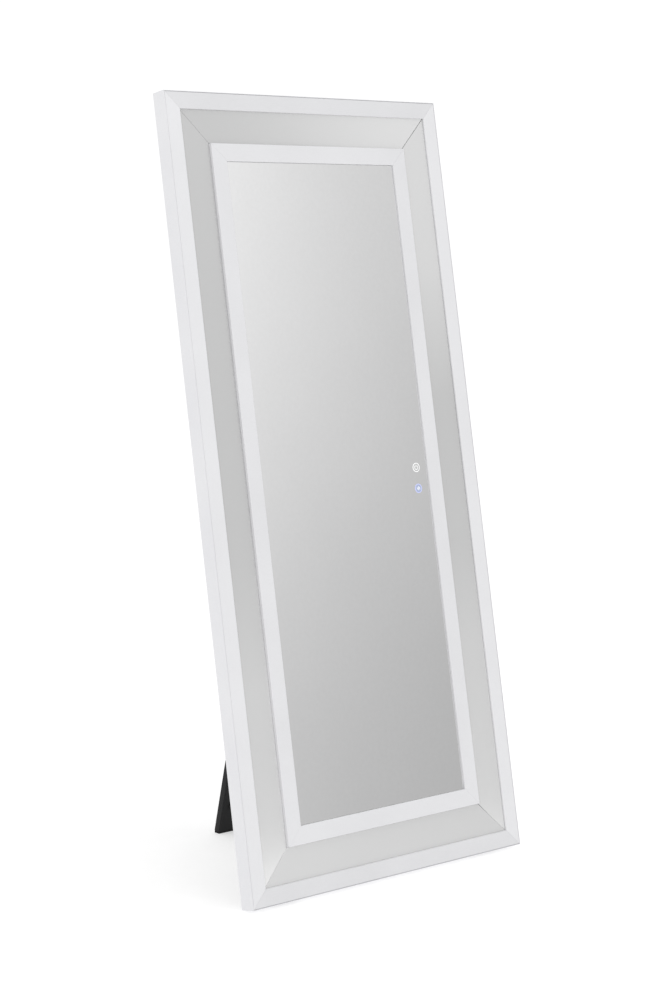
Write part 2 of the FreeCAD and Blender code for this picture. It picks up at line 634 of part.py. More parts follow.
WIRE_ROUTES = [
    # light sensor to box, sound sensor to box, light feed to box
    [("touch_x", "touch_light_z - neck_tall / 2"), ("touch_x", "touch_light_z - touch_drop"),
     ("touch_x - touch_lane", "touch_light_z - touch_rejoin"), ("touch_x - touch_lane", "box_high")],
    [("touch_x", "touch_sound_z - neck_tall / 2"), ("touch_x", "box_high")],
    [(f"{FEED_X} - neck_wide / 2", "feed_z"), ("box_right - feed_lane", "feed_z"),
     ("box_right - feed_lane", "box_high")],
    # inlet, right speaker and left speaker to box
    [("inlet_x", "inlet_z + inlet_flange"), ("inlet_x", "inlet_z + inlet_rise"),
     ("inlet_x + inlet_lane", "inlet_z + inlet_rejoin"), ("inlet_x + inlet_lane", "box_low")],
    [("speaker_x", "speaker_z + cone_radius + tag_tall / 2"), ("speaker_x", "box_low")],
    [("-speaker_x", "speaker_z + cone_radius + tag_tall / 2"), ("-speaker_x", "speaker_z + speaker_rise"),
     ("box_left + speaker_lane", "speaker_z + speaker_rise"), ("box_left + speaker_lane", "box_low")],
]
CLIP_SPOTS = [("touch_x - touch_lane", "clip_high"), ("touch_x", "clip_high"),
              ("inlet_x + inlet_lane", "clip_middle"), ("speaker_x", "clip_middle"),
              ("box_left + speaker_lane", "clip_middle"), ("-speaker_x", "clip_low")]
CORNER_SHARE = 0.45
LARGEST_BEND = 40


def rounded_path(points):
    """Join points by straight runs and tangent arcs, each arc as large as its two runs allow."""
    edges = []
    start = points[0]
    for before, corner, after in zip(points, points[1:], points[2:]):
        back = before - corner
        ahead = after - corner
        half_turn = (math.pi - back.getAngle(ahead)) / 2
        shorter = min(back.Length, ahead.Length)
        radius = min(CORNER_SHARE * shorter / math.tan(half_turn), LARGEST_BEND)
        back.normalize()
        ahead.normalize()
        trim = radius * math.tan(half_turn)
        inward = (back + ahead).normalize()
        centre = corner + inward * (radius / math.cos(half_turn))
        first, last = corner + back * trim, corner + ahead * trim
        edges.append(Part.LineSegment(start, first).toShape())
        edges.append(Part.Arc(first, centre - inward * radius, last).toShape())
        start = last
    edges.append(Part.LineSegment(start, points[-1]).toShape())
    return Part.Wire(edges)


def make_wiring():
    """Make the wires, each whole along its clipped route on the support board, and the clips."""
    solids = []
    for route in WIRE_ROUTES:
        path = rounded_path([Vector(size(x), size("wire_y"), size(z)) for x, z in route])
        section = Part.Wire(Part.makeCircle(size("wire_radius"), path.Vertexes[0].Point,
                                            path.Edges[0].tangentAt(path.Edges[0].FirstParameter)))
        tube = path.makePipeShell([section], True, False)
        expected = math.pi * size("wire_radius") ** 2 * path.Length
        if abs(tube.Volume - expected) > expected / 100:
            raise RuntimeError("a wire's volume is not its section times its length")
        solids.append(tube)
    harness = doc.addObject("Part::Feature", "wiring_harness")
    harness.Label = "wiring_harness"
    harness.Shape = Part.makeCompound(solids)
    put(harness)
    nodes.append(harness)

    clips = new_body("wire_clips")
    for x, z in CLIP_SPOTS:
        prism(clips, "XZ", centred(x, z, "clip_side", "clip_side"),
              "cavity_depth - depth", "cavity_depth + clip_tall - depth")
    for x, z in CLIP_SPOTS:
        discs(clips, "XY", [(x, "wire_y")], "wire_radius + clip_gap", f"{z} - clip_side", f"{z} + clip_side",
              remove=True)


# ---------------------------------------------------------------- feet and leg

def floor_under_panel(y):
    """Return panel z of the floor at a panel y."""
    return f"(({y}) * sin(lean) - base_gap) / cos(lean)"


def make_frame_feet():
    """Make the two rubber feet under the bottom rail, cut flat to the floor."""
    for side in ("left", "right"):
        foot = new_body(f"frame_foot_{side}")
        corners = [("-foot_back", "0"), ("-foot_front", "0"), ("-foot_front", floor_under_panel("-foot_front")),
                   ("-foot_back", floor_under_panel("-foot_back"))]
        low, high = sided(side, "foot_x - foot_wide / 2", "foot_x + foot_wide / 2")
        prism(foot, "YZ", corners, low, high)


ON_HINGE = {"y": "hinge_y", "z": "hinge_z"}
ON_LEG = {"y": "hinge_y", "z": "hinge_z", "turn": "spread"}


def floor_under_leg(y):
    """Return leg z of the floor at a leg y, measured from the hinge axis."""
    return f"-(axis_high + ({y}) * sin(tilt)) / cos(tilt)"


def make_leg():
    """Make the tapered leg board, its rubber foot and the bumpers on its inner face."""
    board = new_body("leg_board", **ON_LEG)
    outline = [("-leg_top_half", "-leg_top_gap"), ("leg_top_half", "-leg_top_gap"),
               ("leg_foot_half", "leg_toe"), ("-leg_foot_half", "leg_toe")]
    prism(board, "XZ", outline, "leg_front", "leg_rear")
    front, rear = "leg_front - cut_over", "leg_rear + cut_over"
    under = [(front, f"{floor_under_leg(front)} + leg_pad"), (rear, f"{floor_under_leg(rear)} + leg_pad"),
             (rear, "leg_toe - leg_thick - cut_over"), (front, "leg_toe - leg_thick - cut_over")]
    prism(board, "YZ", under, "-leg_foot_half - cut_over", "leg_foot_half + cut_over", remove=True)
    long_edge = size("stay_drop")
    round_edges(board, "leg_edge", lambda edge: edge.Length > long_edge)
    drill(board, [(x, f"-({rise})") for x, rise in LEAF_SPOTS] + bracket_spots(LEG_BRACKET_X, "-stay_drop"),
          "leg_rear - pilot_deep", "leg_rear")

    pad = new_body("leg_foot_pad", **ON_LEG)
    sole = [("leg_front", "leg_toe"), ("leg_rear", "leg_heel"), ("leg_rear", "leg_heel + leg_pad"),
            ("leg_front", "leg_toe + leg_pad")]
    prism(pad, "YZ", sole, "-leg_foot_half + leg_edge", "leg_foot_half - leg_edge")

    bumpers = new_body("leg_bumpers", **ON_LEG)
    discs(bumpers, "XZ", [("-bumper_x", "-bumper_drop"), ("bumper_x", "-bumper_drop")], "bumper_radius",
          "leg_front - bumper_thick", "leg_front")


KNUCKLES = 5


def make_leaf(label, place, owned, rise):
    """Make one hinge leaf with its knuckles; rise is +1 for the leaf above the axis and -1 for the one below."""
    leaf = new_body(label, **place)
    inner, outer = "leg_rear", "leg_rear + leaf_thick"
    clear, top = f"{rise} * (knuckle_radius + leaf_clear)", f"{rise} * leaf_tall"
    prism(leaf, "XZ", rectangle("-leaf_half", "leaf_half", clear, top), inner, outer)
    for number in owned:
        low = f"-leaf_half + {number} * 2 * leaf_half / {KNUCKLES} + knuckle_gap / 2"
        high = f"-leaf_half + {number + 1} * 2 * leaf_half / {KNUCKLES} - knuckle_gap / 2"
        prism(leaf, "XZ", rectangle(low, high, "0", clear), inner, outer)
        discs(leaf, "YZ", [("0", "0")], "knuckle_radius", low, high)
    discs(leaf, "YZ", [("0", "0")], "hinge_pin + pin_fit", "-leaf_half - 1", "leaf_half + 1", remove=True)
    drill(leaf, [(x, f"{rise} * {along}") for x, along in LEAF_SPOTS], inner, outer, "screw_shank + edge_gap")
    return leaf


def make_hinge():
    """Make the block that spaces the hinge off the back panel, the two leaves, the pin and the screws."""
    block = new_body("hinge_block", **ON_HINGE)
    outline = [("-block_half", "leg_top_gap"), ("block_half", "leg_top_gap"),
               ("block_half", "block_tall - block_corner"), ("block_half - block_corner", "block_tall"),
               ("block_corner - block_half", "block_tall"), ("-block_half", "block_tall - block_corner")]
    prism(block, "XZ", outline, "-hinge_y", "leg_rear")
    drill(block, BLOCK_SPOTS, "-hinge_y", "leg_rear")
    drill(block, LEAF_SPOTS, "leg_rear - pilot_deep", "leg_rear")

    make_leaf("hinge_panel_leaf", ON_HINGE, (0, 2, 4), 1)
    make_leaf("hinge_leg_leaf", ON_LEG, (1, 3), -1)
    pin = new_body("hinge_pin", **ON_HINGE)
    reach = "leaf_half + head_gap + pin_head_thick"
    discs(pin, "YZ", [("0", "0")], "hinge_pin", f"-({reach})", reach)
    for side in ("left", "right"):
        low, high = sided(side, "leaf_half + head_gap", reach)
        discs(pin, "YZ", [("0", "0")], "pin_head", low, high)

    make_screws("hinge_panel_screws", [(BLOCK_SPOTS, "leg_rear", "screw_long"),
                                       (LEAF_SPOTS, "leg_rear + leaf_thick", "screw_short")], **ON_HINGE)
    leg_leaf_spots = [(x, f"-({rise})") for x, rise in LEAF_SPOTS]
    leg_bracket_spots = bracket_spots(LEG_BRACKET_X, "-stay_drop")
    make_screws("leg_screws", [(leg_leaf_spots, "leg_rear + leaf_thick", "screw_short"),
                               (leg_bracket_spots, "leg_rear + bracket_thick", "screw_short")], **ON_LEG)


# ---------------------------------------------------------------- folding side stays

def make_brackets():
    """Make the angle brackets that carry the stays' outer pivots, on the back panel and on the leg."""
    panel = new_body("stay_panel_brackets")
    leg = new_body("stay_leg_brackets", **ON_LEG)
    seat = "panel_arm_x + arm_thick + arm_gap"
    inner = "leg_arm_x - arm_gap"
    for side in ("left", "right"):
        low, high = sided(side, seat, f"{seat} + bracket_wide")
        prism(panel, "XZ", rectangle(low, high, "stay_z - bracket_half", "stay_z + bracket_half"),
              "0", "bracket_thick")
        low, high = sided(side, seat, f"{seat} + bracket_thick")
        prism(panel, "YZ", rectangle("0", "stay_y + flange_half - bracket_thick", "stay_z - flange_half",
                                     "stay_z + flange_half"), low, high)
        low, high = sided(side, f"{inner} - bracket_wide", inner)
        prism(leg, "XZ", rectangle(low, high, "-stay_drop - bracket_half", "-stay_drop + bracket_half"),
              "leg_rear", "leg_rear + bracket_thick")
        low, high = sided(side, f"{inner} - bracket_thick", inner)
        prism(leg, "YZ", rectangle("-stay_offset - flange_half + bracket_thick", "leg_rear + bracket_thick",
                                   "-stay_drop - flange_half", "-stay_drop + flange_half"), low, high)
    reach = f"{seat} + bracket_wide"
    discs(panel, "YZ", [("stay_y", "stay_z")], "rivet_radius", f"-({reach})", reach, remove=True)
    discs(leg, "YZ", [("-stay_offset", "-stay_drop")], "rivet_radius", f"-({reach})", reach, remove=True)
    drill(panel, bracket_spots(PANEL_BRACKET_X, "stay_z"), "0", "bracket_thick")
    drill(leg, bracket_spots(LEG_BRACKET_X, "-stay_drop"), "leg_rear", "leg_rear + bracket_thick")
    make_screws("stay_panel_screws", [(bracket_spots(PANEL_BRACKET_X, "stay_z"), "bracket_thick", "screw_short")])


def make_arm(label, side, place, bar, stub, head):
    """Make one stay arm, drawn along +y from its outer pivot to the elbow.

    bar, stub and head are the x spans, on the right-hand side, of the arm itself and of its own half of the
    elbow rivet: the stub that faces the other arm and the head on the outside.
    """
    arm = new_body(label, **place)
    low, high = sided(side, *bar)
    prism(arm, "YZ", rectangle("0", "arm_length", "-arm_half", "arm_half"), low, high)
    discs(arm, "YZ", [("0", "0")], "arm_half", low, high)
    discs(arm, "YZ", [("arm_length", "0")], "arm_half", low, high)
    discs(arm, "YZ", [("0", "0")], "rivet_radius + pin_fit", low, high, remove=True)
    for radius, span in (("elbow_radius", stub), ("rivet_head", head)):
        low, high = sided(side, *span)
        discs(arm, "YZ", [("arm_length", "0")], radius, low, high)


def make_rivets(label, middle, seat, spans, place):
    """Make the rivets of the left and right outer pivots; spans are low x, high x and radius of each step."""
    rivets = new_body(label, **place)
    for side in ("left", "right"):
        for low_x, high_x, radius in spans:
            low, high = sided(side, low_x, high_x)
            discs(rivets, "YZ", [(seat, middle)], radius, low, high)


def make_stays():
    """Make the two-arm stays: the panel arms hang on the panel's brackets, the leg arms on the leg's."""
    make_brackets()
    leg_far = "leg_arm_x + arm_thick"
    panel_far = "panel_arm_x + arm_thick"
    elbow = f"({leg_far} + panel_arm_x) / 2"
    on_panel_pivot = {"y": "stay_y", "z": "stay_z", "turn": "stay_angle"}
    on_leg_pivot = {"y": "stay_y + 2 * arm_length * cos(stay_angle)",
                    "z": "stay_z + 2 * arm_length * sin(stay_angle)", "turn": "stay_angle + 180"}
    for side in ("left", "right"):
        make_arm(f"stay_panel_arm_{side}", side, on_panel_pivot, ("panel_arm_x", panel_far),
                 (f"{elbow} + elbow_gap", "panel_arm_x"), (panel_far, f"{panel_far} + elbow_head"))
        make_arm(f"stay_leg_arm_{side}", side, on_leg_pivot, ("leg_arm_x", leg_far),
                 (leg_far, f"{elbow} - elbow_gap"), ("leg_arm_x - elbow_head", "leg_arm_x"))

    flange_far = f"{panel_far} + arm_gap + bracket_thick"
    inner_head = "panel_arm_x - head_gap"
    make_rivets("stay_panel_rivets", "stay_z", "stay_y", [
        (inner_head, flange_far, "rivet_radius"),
        (f"{inner_head} - rivet_thin_head", inner_head, "rivet_head"),
        (flange_far, f"{flange_far} + rivet_head_thick", "rivet_head"),
    ], {})
    flange_near = "leg_arm_x - arm_gap - bracket_thick"
    outer_head = f"{leg_far} + head_gap"
    make_rivets("stay_leg_rivets", "-stay_drop", "-stay_offset", [
        (flange_near, outer_head, "rivet_radius"),
        (outer_head, f"{outer_head} + rivet_thin_head", "rivet_head"),
        (f"{flange_near} - rivet_head_thick", flange_near, "rivet_head"),
    ], ON_LEG)


# ---------------------------------------------------------------- checks and export

def check_document():
    """Stop if any object failed to compute or any sub-part's shape is empty or faulty."""
    for thing in doc.Objects:
        if "Invalid" in thing.State or "Error" in thing.State:
            raise RuntimeError(f"{thing.Label} did not compute: {thing.State}")
    for node in nodes:
        if node.Shape.isNull() or not node.Shape.isValid() or not node.Shape.Solids:
            raise RuntimeError(f"{node.Label} has no sound solid")
    if len(nodes) > MAX_NODES:
        raise RuntimeError(f"{len(nodes)} nodes, over the limit of {MAX_NODES}")


def export_nodes():
    """Write each sub-part to its own STEP file."""
    os.makedirs(OUTPUT_FOLDER, exist_ok=True)
    for node in nodes:
        node.Shape.exportStep(os.path.join(OUTPUT_FOLDER, node.Label + ".step"))


fill_sheet()
make_frame()
make_glass_and_boards()
make_light_strips()
make_touch_sensors()
make_control_box()
make_speakers()
make_inlet()
make_wiring()
make_frame_feet()
make_leg()
make_hinge()
make_stays()
doc.recompute()
check_document()
export_nodes()

box = Part.makeCompound([node.Shape for node in nodes]).BoundBox
print(f"{len(nodes)} nodes, {sum(len(node.Shape.Solids) for node in nodes)} solids")
print(f"box {box.XLength:.1f} x {box.YLength:.1f} x {box.ZLength:.1f} mm, lowest {box.ZMin:.2f}, "
      f"y from {box.YMin:.2f} to {box.YMax:.2f}")
for name in ("arm_length", "stay_angle", "stay_radius", "axis_high", "shift_y"):
    print(f"{name} {size(name):.5f}")
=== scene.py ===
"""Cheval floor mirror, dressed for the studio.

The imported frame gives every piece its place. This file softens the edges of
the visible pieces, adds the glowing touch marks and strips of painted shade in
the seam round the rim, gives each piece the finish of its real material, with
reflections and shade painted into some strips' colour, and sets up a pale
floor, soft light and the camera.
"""

from __future__ import annotations

import json
import logging
import math
from dataclasses import dataclass, field, replace
from enum import Enum
from functools import lru_cache

import bmesh
import bpy
import numpy as np
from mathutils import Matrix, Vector

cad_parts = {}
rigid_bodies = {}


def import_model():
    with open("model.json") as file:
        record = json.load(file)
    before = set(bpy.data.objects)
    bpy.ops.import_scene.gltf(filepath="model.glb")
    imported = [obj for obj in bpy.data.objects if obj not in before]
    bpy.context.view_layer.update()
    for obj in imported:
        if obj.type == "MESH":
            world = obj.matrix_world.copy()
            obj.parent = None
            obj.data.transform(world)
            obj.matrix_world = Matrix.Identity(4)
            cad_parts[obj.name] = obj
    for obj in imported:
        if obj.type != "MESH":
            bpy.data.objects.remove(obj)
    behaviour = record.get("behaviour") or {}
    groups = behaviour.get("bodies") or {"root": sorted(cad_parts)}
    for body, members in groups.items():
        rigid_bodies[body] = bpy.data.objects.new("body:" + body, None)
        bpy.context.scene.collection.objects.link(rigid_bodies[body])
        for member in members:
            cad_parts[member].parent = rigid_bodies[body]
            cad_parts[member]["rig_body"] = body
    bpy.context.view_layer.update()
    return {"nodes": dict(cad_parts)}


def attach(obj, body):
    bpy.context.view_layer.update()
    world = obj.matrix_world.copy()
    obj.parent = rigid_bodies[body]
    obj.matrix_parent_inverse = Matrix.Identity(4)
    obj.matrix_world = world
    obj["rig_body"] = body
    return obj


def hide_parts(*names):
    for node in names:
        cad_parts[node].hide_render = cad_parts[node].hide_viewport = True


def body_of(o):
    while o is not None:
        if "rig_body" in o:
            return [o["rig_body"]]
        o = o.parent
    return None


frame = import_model()

LOG = logging.getLogger("floor_mirror")
MM = 0.001
FACE_LEAN = math.radians(10.0)
SIDES = ("left", "right", "top", "bottom")
# The two corners that each side of the rim runs between, across and up, in order round the rim.
RIM_CORNERS = {
    "bottom": ((-1, -1), (1, -1)),
    "right": ((1, -1), (1, 1)),
    "top": ((1, 1), (-1, 1)),
    "left": ((-1, 1), (-1, -1)),
}
# Where a pattern's values mostly lie, and where its dark and its light colour stand between 0 and 1.
PATTERN_LOW, PATTERN_HIGH = 0.3, 0.7
DARK_STOP, LIGHT_STOP = 0.36, 0.64
# Softened copies: weld distance, the angles called flat and sharp, and the bevel's steps.
WELD_MM = 0.002
FLAT_ANGLE, SHARP_ANGLE = math.radians(0.5), math.radians(30.0)
BEVEL_STEPS = 2
# A whole turn, in degrees.
FULL_CIRCLE = (0.0, 360.0)
# The globes round the studio reach this many degrees up and down, which leaves out their poles.
GLOBE_REACH = 89.0


class Grain(Enum):
    """How a surface's pattern runs: evenly, or drawn out along one axis."""

    EVEN = (1.0, 1.0, 1.0)
    UPWARDS = (1.0, 1.0, 0.04)
    ACROSS = (0.04, 1.0, 1.0)


def linear(hex_code: str) -> tuple[float, float, float, float]:
    """Turns an sRGB hex colour into linear light.

    Args:
        hex_code: six hex digits, red first.

    Returns:
        Red, green, blue and an alpha of one.
    """
    share = np.array([int(hex_code[i : i + 2], 16) for i in (0, 2, 4)]) / 255.0
    curve = np.where(share <= 0.04045, share / 12.92, ((share + 0.055) / 1.055) ** 2.4)
    return (*curve.tolist(), 1.0)


def add_node(
    tree: bpy.types.NodeTree,
    kind: str,
    settings: dict | None = None,
    links: dict | None = None,
    stops: tuple = (),
) -> bpy.types.Node:
    """Adds one node to a tree, sets it and wires it.

    Args:
        tree: the node tree.
        kind: the node's type name.
        settings: values by socket name or number, or by property name.
        links: output sockets by the input they feed.
        stops: places and colours of a ramp's stops.

    Returns:
        The new node.
    """
    node = tree.nodes.new(kind)
    for number, (place, colour) in enumerate(stops):
        ramp = node.color_ramp.elements
        stop = ramp[number] if number < len(ramp) else ramp.new(place)
        stop.position = place
        stop.color = colour
    for name, value in (settings or {}).items():
        if isinstance(name, int) or name in node.inputs:
            node.inputs[name].default_value = value
        else:
            setattr(node, name, value)
    for name, source in (links or {}).items():
        tree.links.new(source, node.inputs[name])
    return node


@dataclass(frozen=True)
class Finish:
    """A finish with a fine grain, a slow drift of colour and a varying shine.

    Attributes:
        name: the material's name.
        light: its lighter colour, sRGB hex.
        dark: its darker colour, sRGB hex.
        grain_mm: size of the fine pattern.
        relief_mm: height of the fine pattern.
        shine: lowest and highest roughness.
        run: how the pattern runs.
        drift_mm: size of the slow changes of colour.
        fixed: shader values that are the same all over.
    """

    name: str
    light: str
    dark: str
    grain_mm: float
    relief_mm: float
    shine: tuple[float, float]
    run: Grain = Grain.EVEN
    drift_mm: float = 160.0
    fixed: tuple[tuple[str, float], ...] = ()

    def grain(self, tree: bpy.types.NodeTree, place: bpy.types.NodeSocket) -> bpy.types.NodeSocket:
        """The fine pattern, here an even noise.

        Args:
            tree: the material's node tree.
            place: the stretched place on the piece.

        Returns:
            A height from 0 to 1.
        """
        fine = {"Scale": 1.0 / (self.grain_mm * MM), "Detail": 4.0}
        return add_node(tree, "ShaderNodeTexNoise", fine, {"Vector": place}).outputs["Fac"]

    def tint(
        self,
        tree: bpy.types.NodeTree,
        place: bpy.types.NodeSocket,
        grain: bpy.types.NodeSocket,
        drift: bpy.types.NodeSocket,
    ) -> bpy.types.NodeSocket:
        """The colour, between dark and light by the grain and the drift.

        Args:
            tree: the material's node tree.
            place: the place on the piece.
            grain: the fine pattern.
            drift: the slow pattern.

        Returns:
            The colour socket.
        """
        both = add_node(tree, "ShaderNodeMath", {"operation": "ADD"}, {0: grain, 1: drift})
        half = add_node(tree, "ShaderNodeMath", {"operation": "MULTIPLY", 1: 0.5}, {0: both.outputs[0]})
        ends = ((DARK_STOP, linear(self.dark)), (LIGHT_STOP, linear(self.light)))
        ramp = add_node(tree, "ShaderNodeValToRGB", links={"Fac": half.outputs[0]}, stops=ends)
        return ramp.outputs["Color"]

    def extras(self, tree: bpy.types.NodeTree, colour: bpy.types.NodeSocket) -> dict:
        """Further links into the shader; most finishes have none.

        Args:
            tree: the material's node tree.
            colour: the colour socket.

        Returns:
            Output sockets by the shader input they feed.
        """
        return {}

    def material(self) -> bpy.types.Material:
        """Builds the node material.

        Returns:
            The material.
        """
        made = bpy.data.materials.new(self.name)
        made.use_nodes = True
        tree = made.node_tree
        tree.nodes.clear()
        place = add_node(tree, "ShaderNodeTexCoord").outputs["Object"]
        drawn = add_node(tree, "ShaderNodeMapping", {"Scale": self.run.value}, {"Vector": place})
        grain = self.grain(tree, drawn.outputs["Vector"])
        slow = {"Scale": 1.0 / (self.drift_mm * MM), "Detail": 3.0}
        drift = add_node(tree, "ShaderNodeTexNoise", slow, {"Vector": place}).outputs["Fac"]
        colour = self.tint(tree, place, grain, drift)
        least, most = self.shine
        spread = {"From Min": PATTERN_LOW, "From Max": PATTERN_HIGH, "To Min": least, "To Max": most}
        shine = add_node(tree, "ShaderNodeMapRange", spread, {"Value": grain})
        relief = add_node(tree, "ShaderNodeBump", {"Distance": self.relief_mm * MM}, {"Height": grain})
        wires = {
            "Base Color": colour,
            "Roughness": shine.outputs["Result"],
            "Normal": relief.outputs["Normal"],
            **self.extras(tree, colour),
        }
        shader = add_node(tree, "ShaderNodeBsdfPrincipled", dict(self.fixed), wires)
        add_node(tree, "ShaderNodeOutputMaterial", links={"Surface": shader.outputs["BSDF"]})
        return made


@dataclass(frozen=True)
class FibreSheet(Finish):
    """Pressed wood fibre: short crossing strands give a matted, papery face.

    Attributes:
        stretch: how much the cells are drawn out, by axis.
        slant: how the cells are turned, in radians about each axis.
        bend: how far noise bends the strands, in metres.
        height: share of the strands' and the noise's sum that is kept.
    """

    stretch: tuple[float, float, float] = (0.3, 1.0, 1.0)
    slant: tuple[float, float, float] = (0.4, 0.7, 0.2)
    bend: float = 0.004
    height: float = 0.55

    def grain(self, tree: bpy.types.NodeTree, place: bpy.types.NodeSocket) -> bpy.types.NodeSocket:
        """Strands from a stretched cell pattern, broken up by noise.

        Args:
            tree: the material's node tree.
            place: the place on the piece.

        Returns:
            A height from 0 to 1.
        """
        scale = 1.0 / (self.grain_mm * MM)
        bent = add_node(tree, "ShaderNodeTexNoise", {"Scale": scale * 0.3, "Detail": 2.0}, {"Vector": place})
        drawn = {"Scale": self.stretch, "Rotation": self.slant}
        long_way = add_node(tree, "ShaderNodeMapping", drawn, {"Vector": place})
        mix = {"operation": "MULTIPLY_ADD", 1: (self.bend,) * 3}
        pair = {0: bent.outputs["Color"], 2: long_way.outputs["Vector"]}
        mixed = add_node(tree, "ShaderNodeVectorMath", mix, pair)
        cells = {"Scale": scale, "feature": "F1"}
        strands = add_node(tree, "ShaderNodeTexVoronoi", cells, {"Vector": mixed.outputs["Vector"]})
        fine = add_node(tree, "ShaderNodeTexNoise", {"Scale": scale * 2.0, "Detail": 4.0}, {"Vector": place})
        pair = {0: strands.outputs["Distance"], 1: fine.outputs["Fac"]}
        both = add_node(tree, "ShaderNodeMath", {"operation": "ADD"}, pair)
        share = {"operation": "MULTIPLY", 1: self.height}
        return add_node(tree, "ShaderNodeMath", share, {0: both.outputs[0]}).outputs[0]


@dataclass(frozen=True)
class SatinSilver(Finish):
    """Silvered glass with a satin face, whose silvering thins out unevenly.

    Attributes:
        climb: brightness of the painted reflection at shares of the height from the floor.
        corner_gain: how much brighter the painted reflection is at the upper right corner.
        corner_rise: shares of the height where that gain starts and is whole.
        unevenness: how far the cloudiness goes either way.
        top_z: the height that counts as one, in metres.
        half_width: how far the strips reach sideways, in metres.
    """

    climb: tuple[tuple[float, float], ...] = (
        (0.0, 0.84), (0.1, 0.81), (0.26, 0.78), (0.41, 0.68), (0.57, 0.65), (0.73, 0.64), (1.0, 0.65),
    )
    corner_gain: float = 0.2
    corner_rise: tuple[float, float] = (0.6, 0.76)
    unevenness: float = 0.015
    top_z: float = 1.6
    half_width: float = 0.33

    def tint(
        self,
        tree: bpy.types.NodeTree,
        place: bpy.types.NodeSocket,
        grain: bpy.types.NodeSocket,
        drift: bpy.types.NodeSocket,
    ) -> bpy.types.NodeSocket:
        """Painted reflection: grey by height, brighter towards the upper right corner.

        Args:
            tree: the material's node tree.
            place: the place on the piece.
            grain: the fine pattern.
            drift: the slow pattern.

        Returns:
            The colour socket.
        """
        axes = add_node(tree, "ShaderNodeSeparateXYZ", links={"Vector": place})
        height = add_node(tree, "ShaderNodeMapRange", {"From Max": self.top_z}, {"Value": axes.outputs["Z"]})
        stops = tuple((at, (grey, grey, grey, 1.0)) for at, grey in self.climb)
        body = add_node(tree, "ShaderNodeValToRGB", links={"Fac": height.outputs["Result"]}, stops=stops)
        ease = "SMOOTHSTEP"
        span = {"From Min": -self.half_width, "From Max": self.half_width, "interpolation_type": ease}
        sideways = add_node(tree, "ShaderNodeMapRange", span, {"Value": axes.outputs["X"]})
        start, whole = self.corner_rise
        rise = {"From Min": start, "From Max": whole, "To Max": self.corner_gain}
        upper = add_node(tree, "ShaderNodeMapRange", rise, {"Value": height.outputs["Result"]})
        pair = {0: sideways.outputs["Result"], 1: upper.outputs["Result"]}
        gain = add_node(tree, "ShaderNodeMath", {"operation": "MULTIPLY"}, pair)
        cloudy = {"To Min": 1.0 - self.unevenness, "To Max": 1.0 + self.unevenness}
        cloud = add_node(tree, "ShaderNodeMapRange", cloudy, {"Value": drift})
        pair = {0: gain.outputs[0], 1: cloud.outputs["Result"]}
        factor = add_node(tree, "ShaderNodeMath", {"operation": "ADD"}, pair)
        pair = {0: body.outputs["Color"], "Scale": factor.outputs[0]}
        return add_node(tree, "ShaderNodeVectorMath", {"operation": "SCALE"}, pair).outputs["Vector"]


@dataclass(frozen=True)
class Glow(Finish):
    """Lit plastic: the colour shines out of the piece, a little unevenly."""

    def extras(self, tree: bpy.types.NodeTree, colour: bpy.types.NodeSocket) -> dict:
        """Feeds the colour to the shader's emission.

        Args:
            tree: the material's node tree.
            colour: the colour socket.

        Returns:
            Output sockets by the shader input they feed.
        """
        return {"Emission Color": colour}


# White satin lacquer, sprayed: a faint orange peel breaks its soft highlights.
SATIN_LACQUER = Finish(
    "satin_lacquer", "E6E6E8", "E0E0E3", 1.6, 0.02, (0.34, 0.44),
    fixed=(("IOR", 1.48), ("Specular IOR Level", 0.4)),
)
# White PVC trim, extruded: faint draw lines run along each strip.
TRIM_UPRIGHT = Finish(
    "drawn_trim_upright", "E7E7E9", "E2E2E4", 0.5, 0.01, (0.3, 0.42), Grain.UPWARDS,
    fixed=(("IOR", 1.53), ("Specular IOR Level", 0.4)),
)
# The top and bottom trims: the same PVC, coloured darker as painted shade.
LEVEL_TRIM_SHADED = Finish(
    "drawn_trim_painted_shade", "E0E0E2", "DADADC", 0.5, 0.01, (0.3, 0.42), Grain.ACROSS,
    fixed=(("IOR", 1.53), ("Specular IOR Level", 0.4)),
)
# Opal acrylic, extruded: milky and a little translucent, with a matt face; its faint glow is painted light
# that lifts the shade at its edges.
OPAL_ACRYLIC = Glow(
    "opal_acrylic", "DFDFE1", "D9D9DB", 0.9, 0.008, (0.42, 0.52),
    fixed=(("IOR", 1.49), ("Specular IOR Level", 0.35), ("Emission Strength", 0.05)),
)
# Silvered float glass: clean and nearly flat, with the least haze of dust.
SILVERED_GLASS = Finish(
    "silvered_glass", "F7F7F7", "F4F4F4", 9.0, 0.0004, (0.015, 0.035),
    drift_mm=240.0, fixed=(("Metallic", 1.0),),
)
# Satin-faced silvered glass: half mirror, half soft grey bloom; the grey is a painted reflection, lighter
# low down and towards the upper right.
SATIN_SILVERED = SatinSilver(
    "satin_silvered_glass", "C8C9C9", "C0C1C1", 6.0, 0.001, (0.1, 0.16),
    fixed=(("Metallic", 0.5), ("Specular IOR Level", 0.2)),
)
# The same strip along the top, where it tips up towards the brightest light; that brighter reflection is
# painted into its colour: an even grey, lighter towards the right end.
SILVER_TOP_PAINTED_REFLECTION = replace(
    SATIN_SILVERED, name="satin_silvered_glass_painted_top", climb=((0.0, 0.6), (1.0, 0.6)), corner_gain=0.44,
)
# Black melamine on fibreboard, pressed: a fine pearl texture kills its gloss.
BLACK_MELAMINE = Finish(
    "black_melamine", "222223", "181819", 0.8, 0.05, (0.5, 0.64),
    fixed=(("IOR", 1.5), ("Specular IOR Level", 0.22)),
)
# Black-faced hardboard: matted fibres show through the thin black face.
BLACK_HARDBOARD = FibreSheet(
    "black_hardboard", "343433", "232322", 1.4, 0.08, (0.62, 0.8),
    fixed=(("IOR", 1.45), ("Specular IOR Level", 0.25)),
)
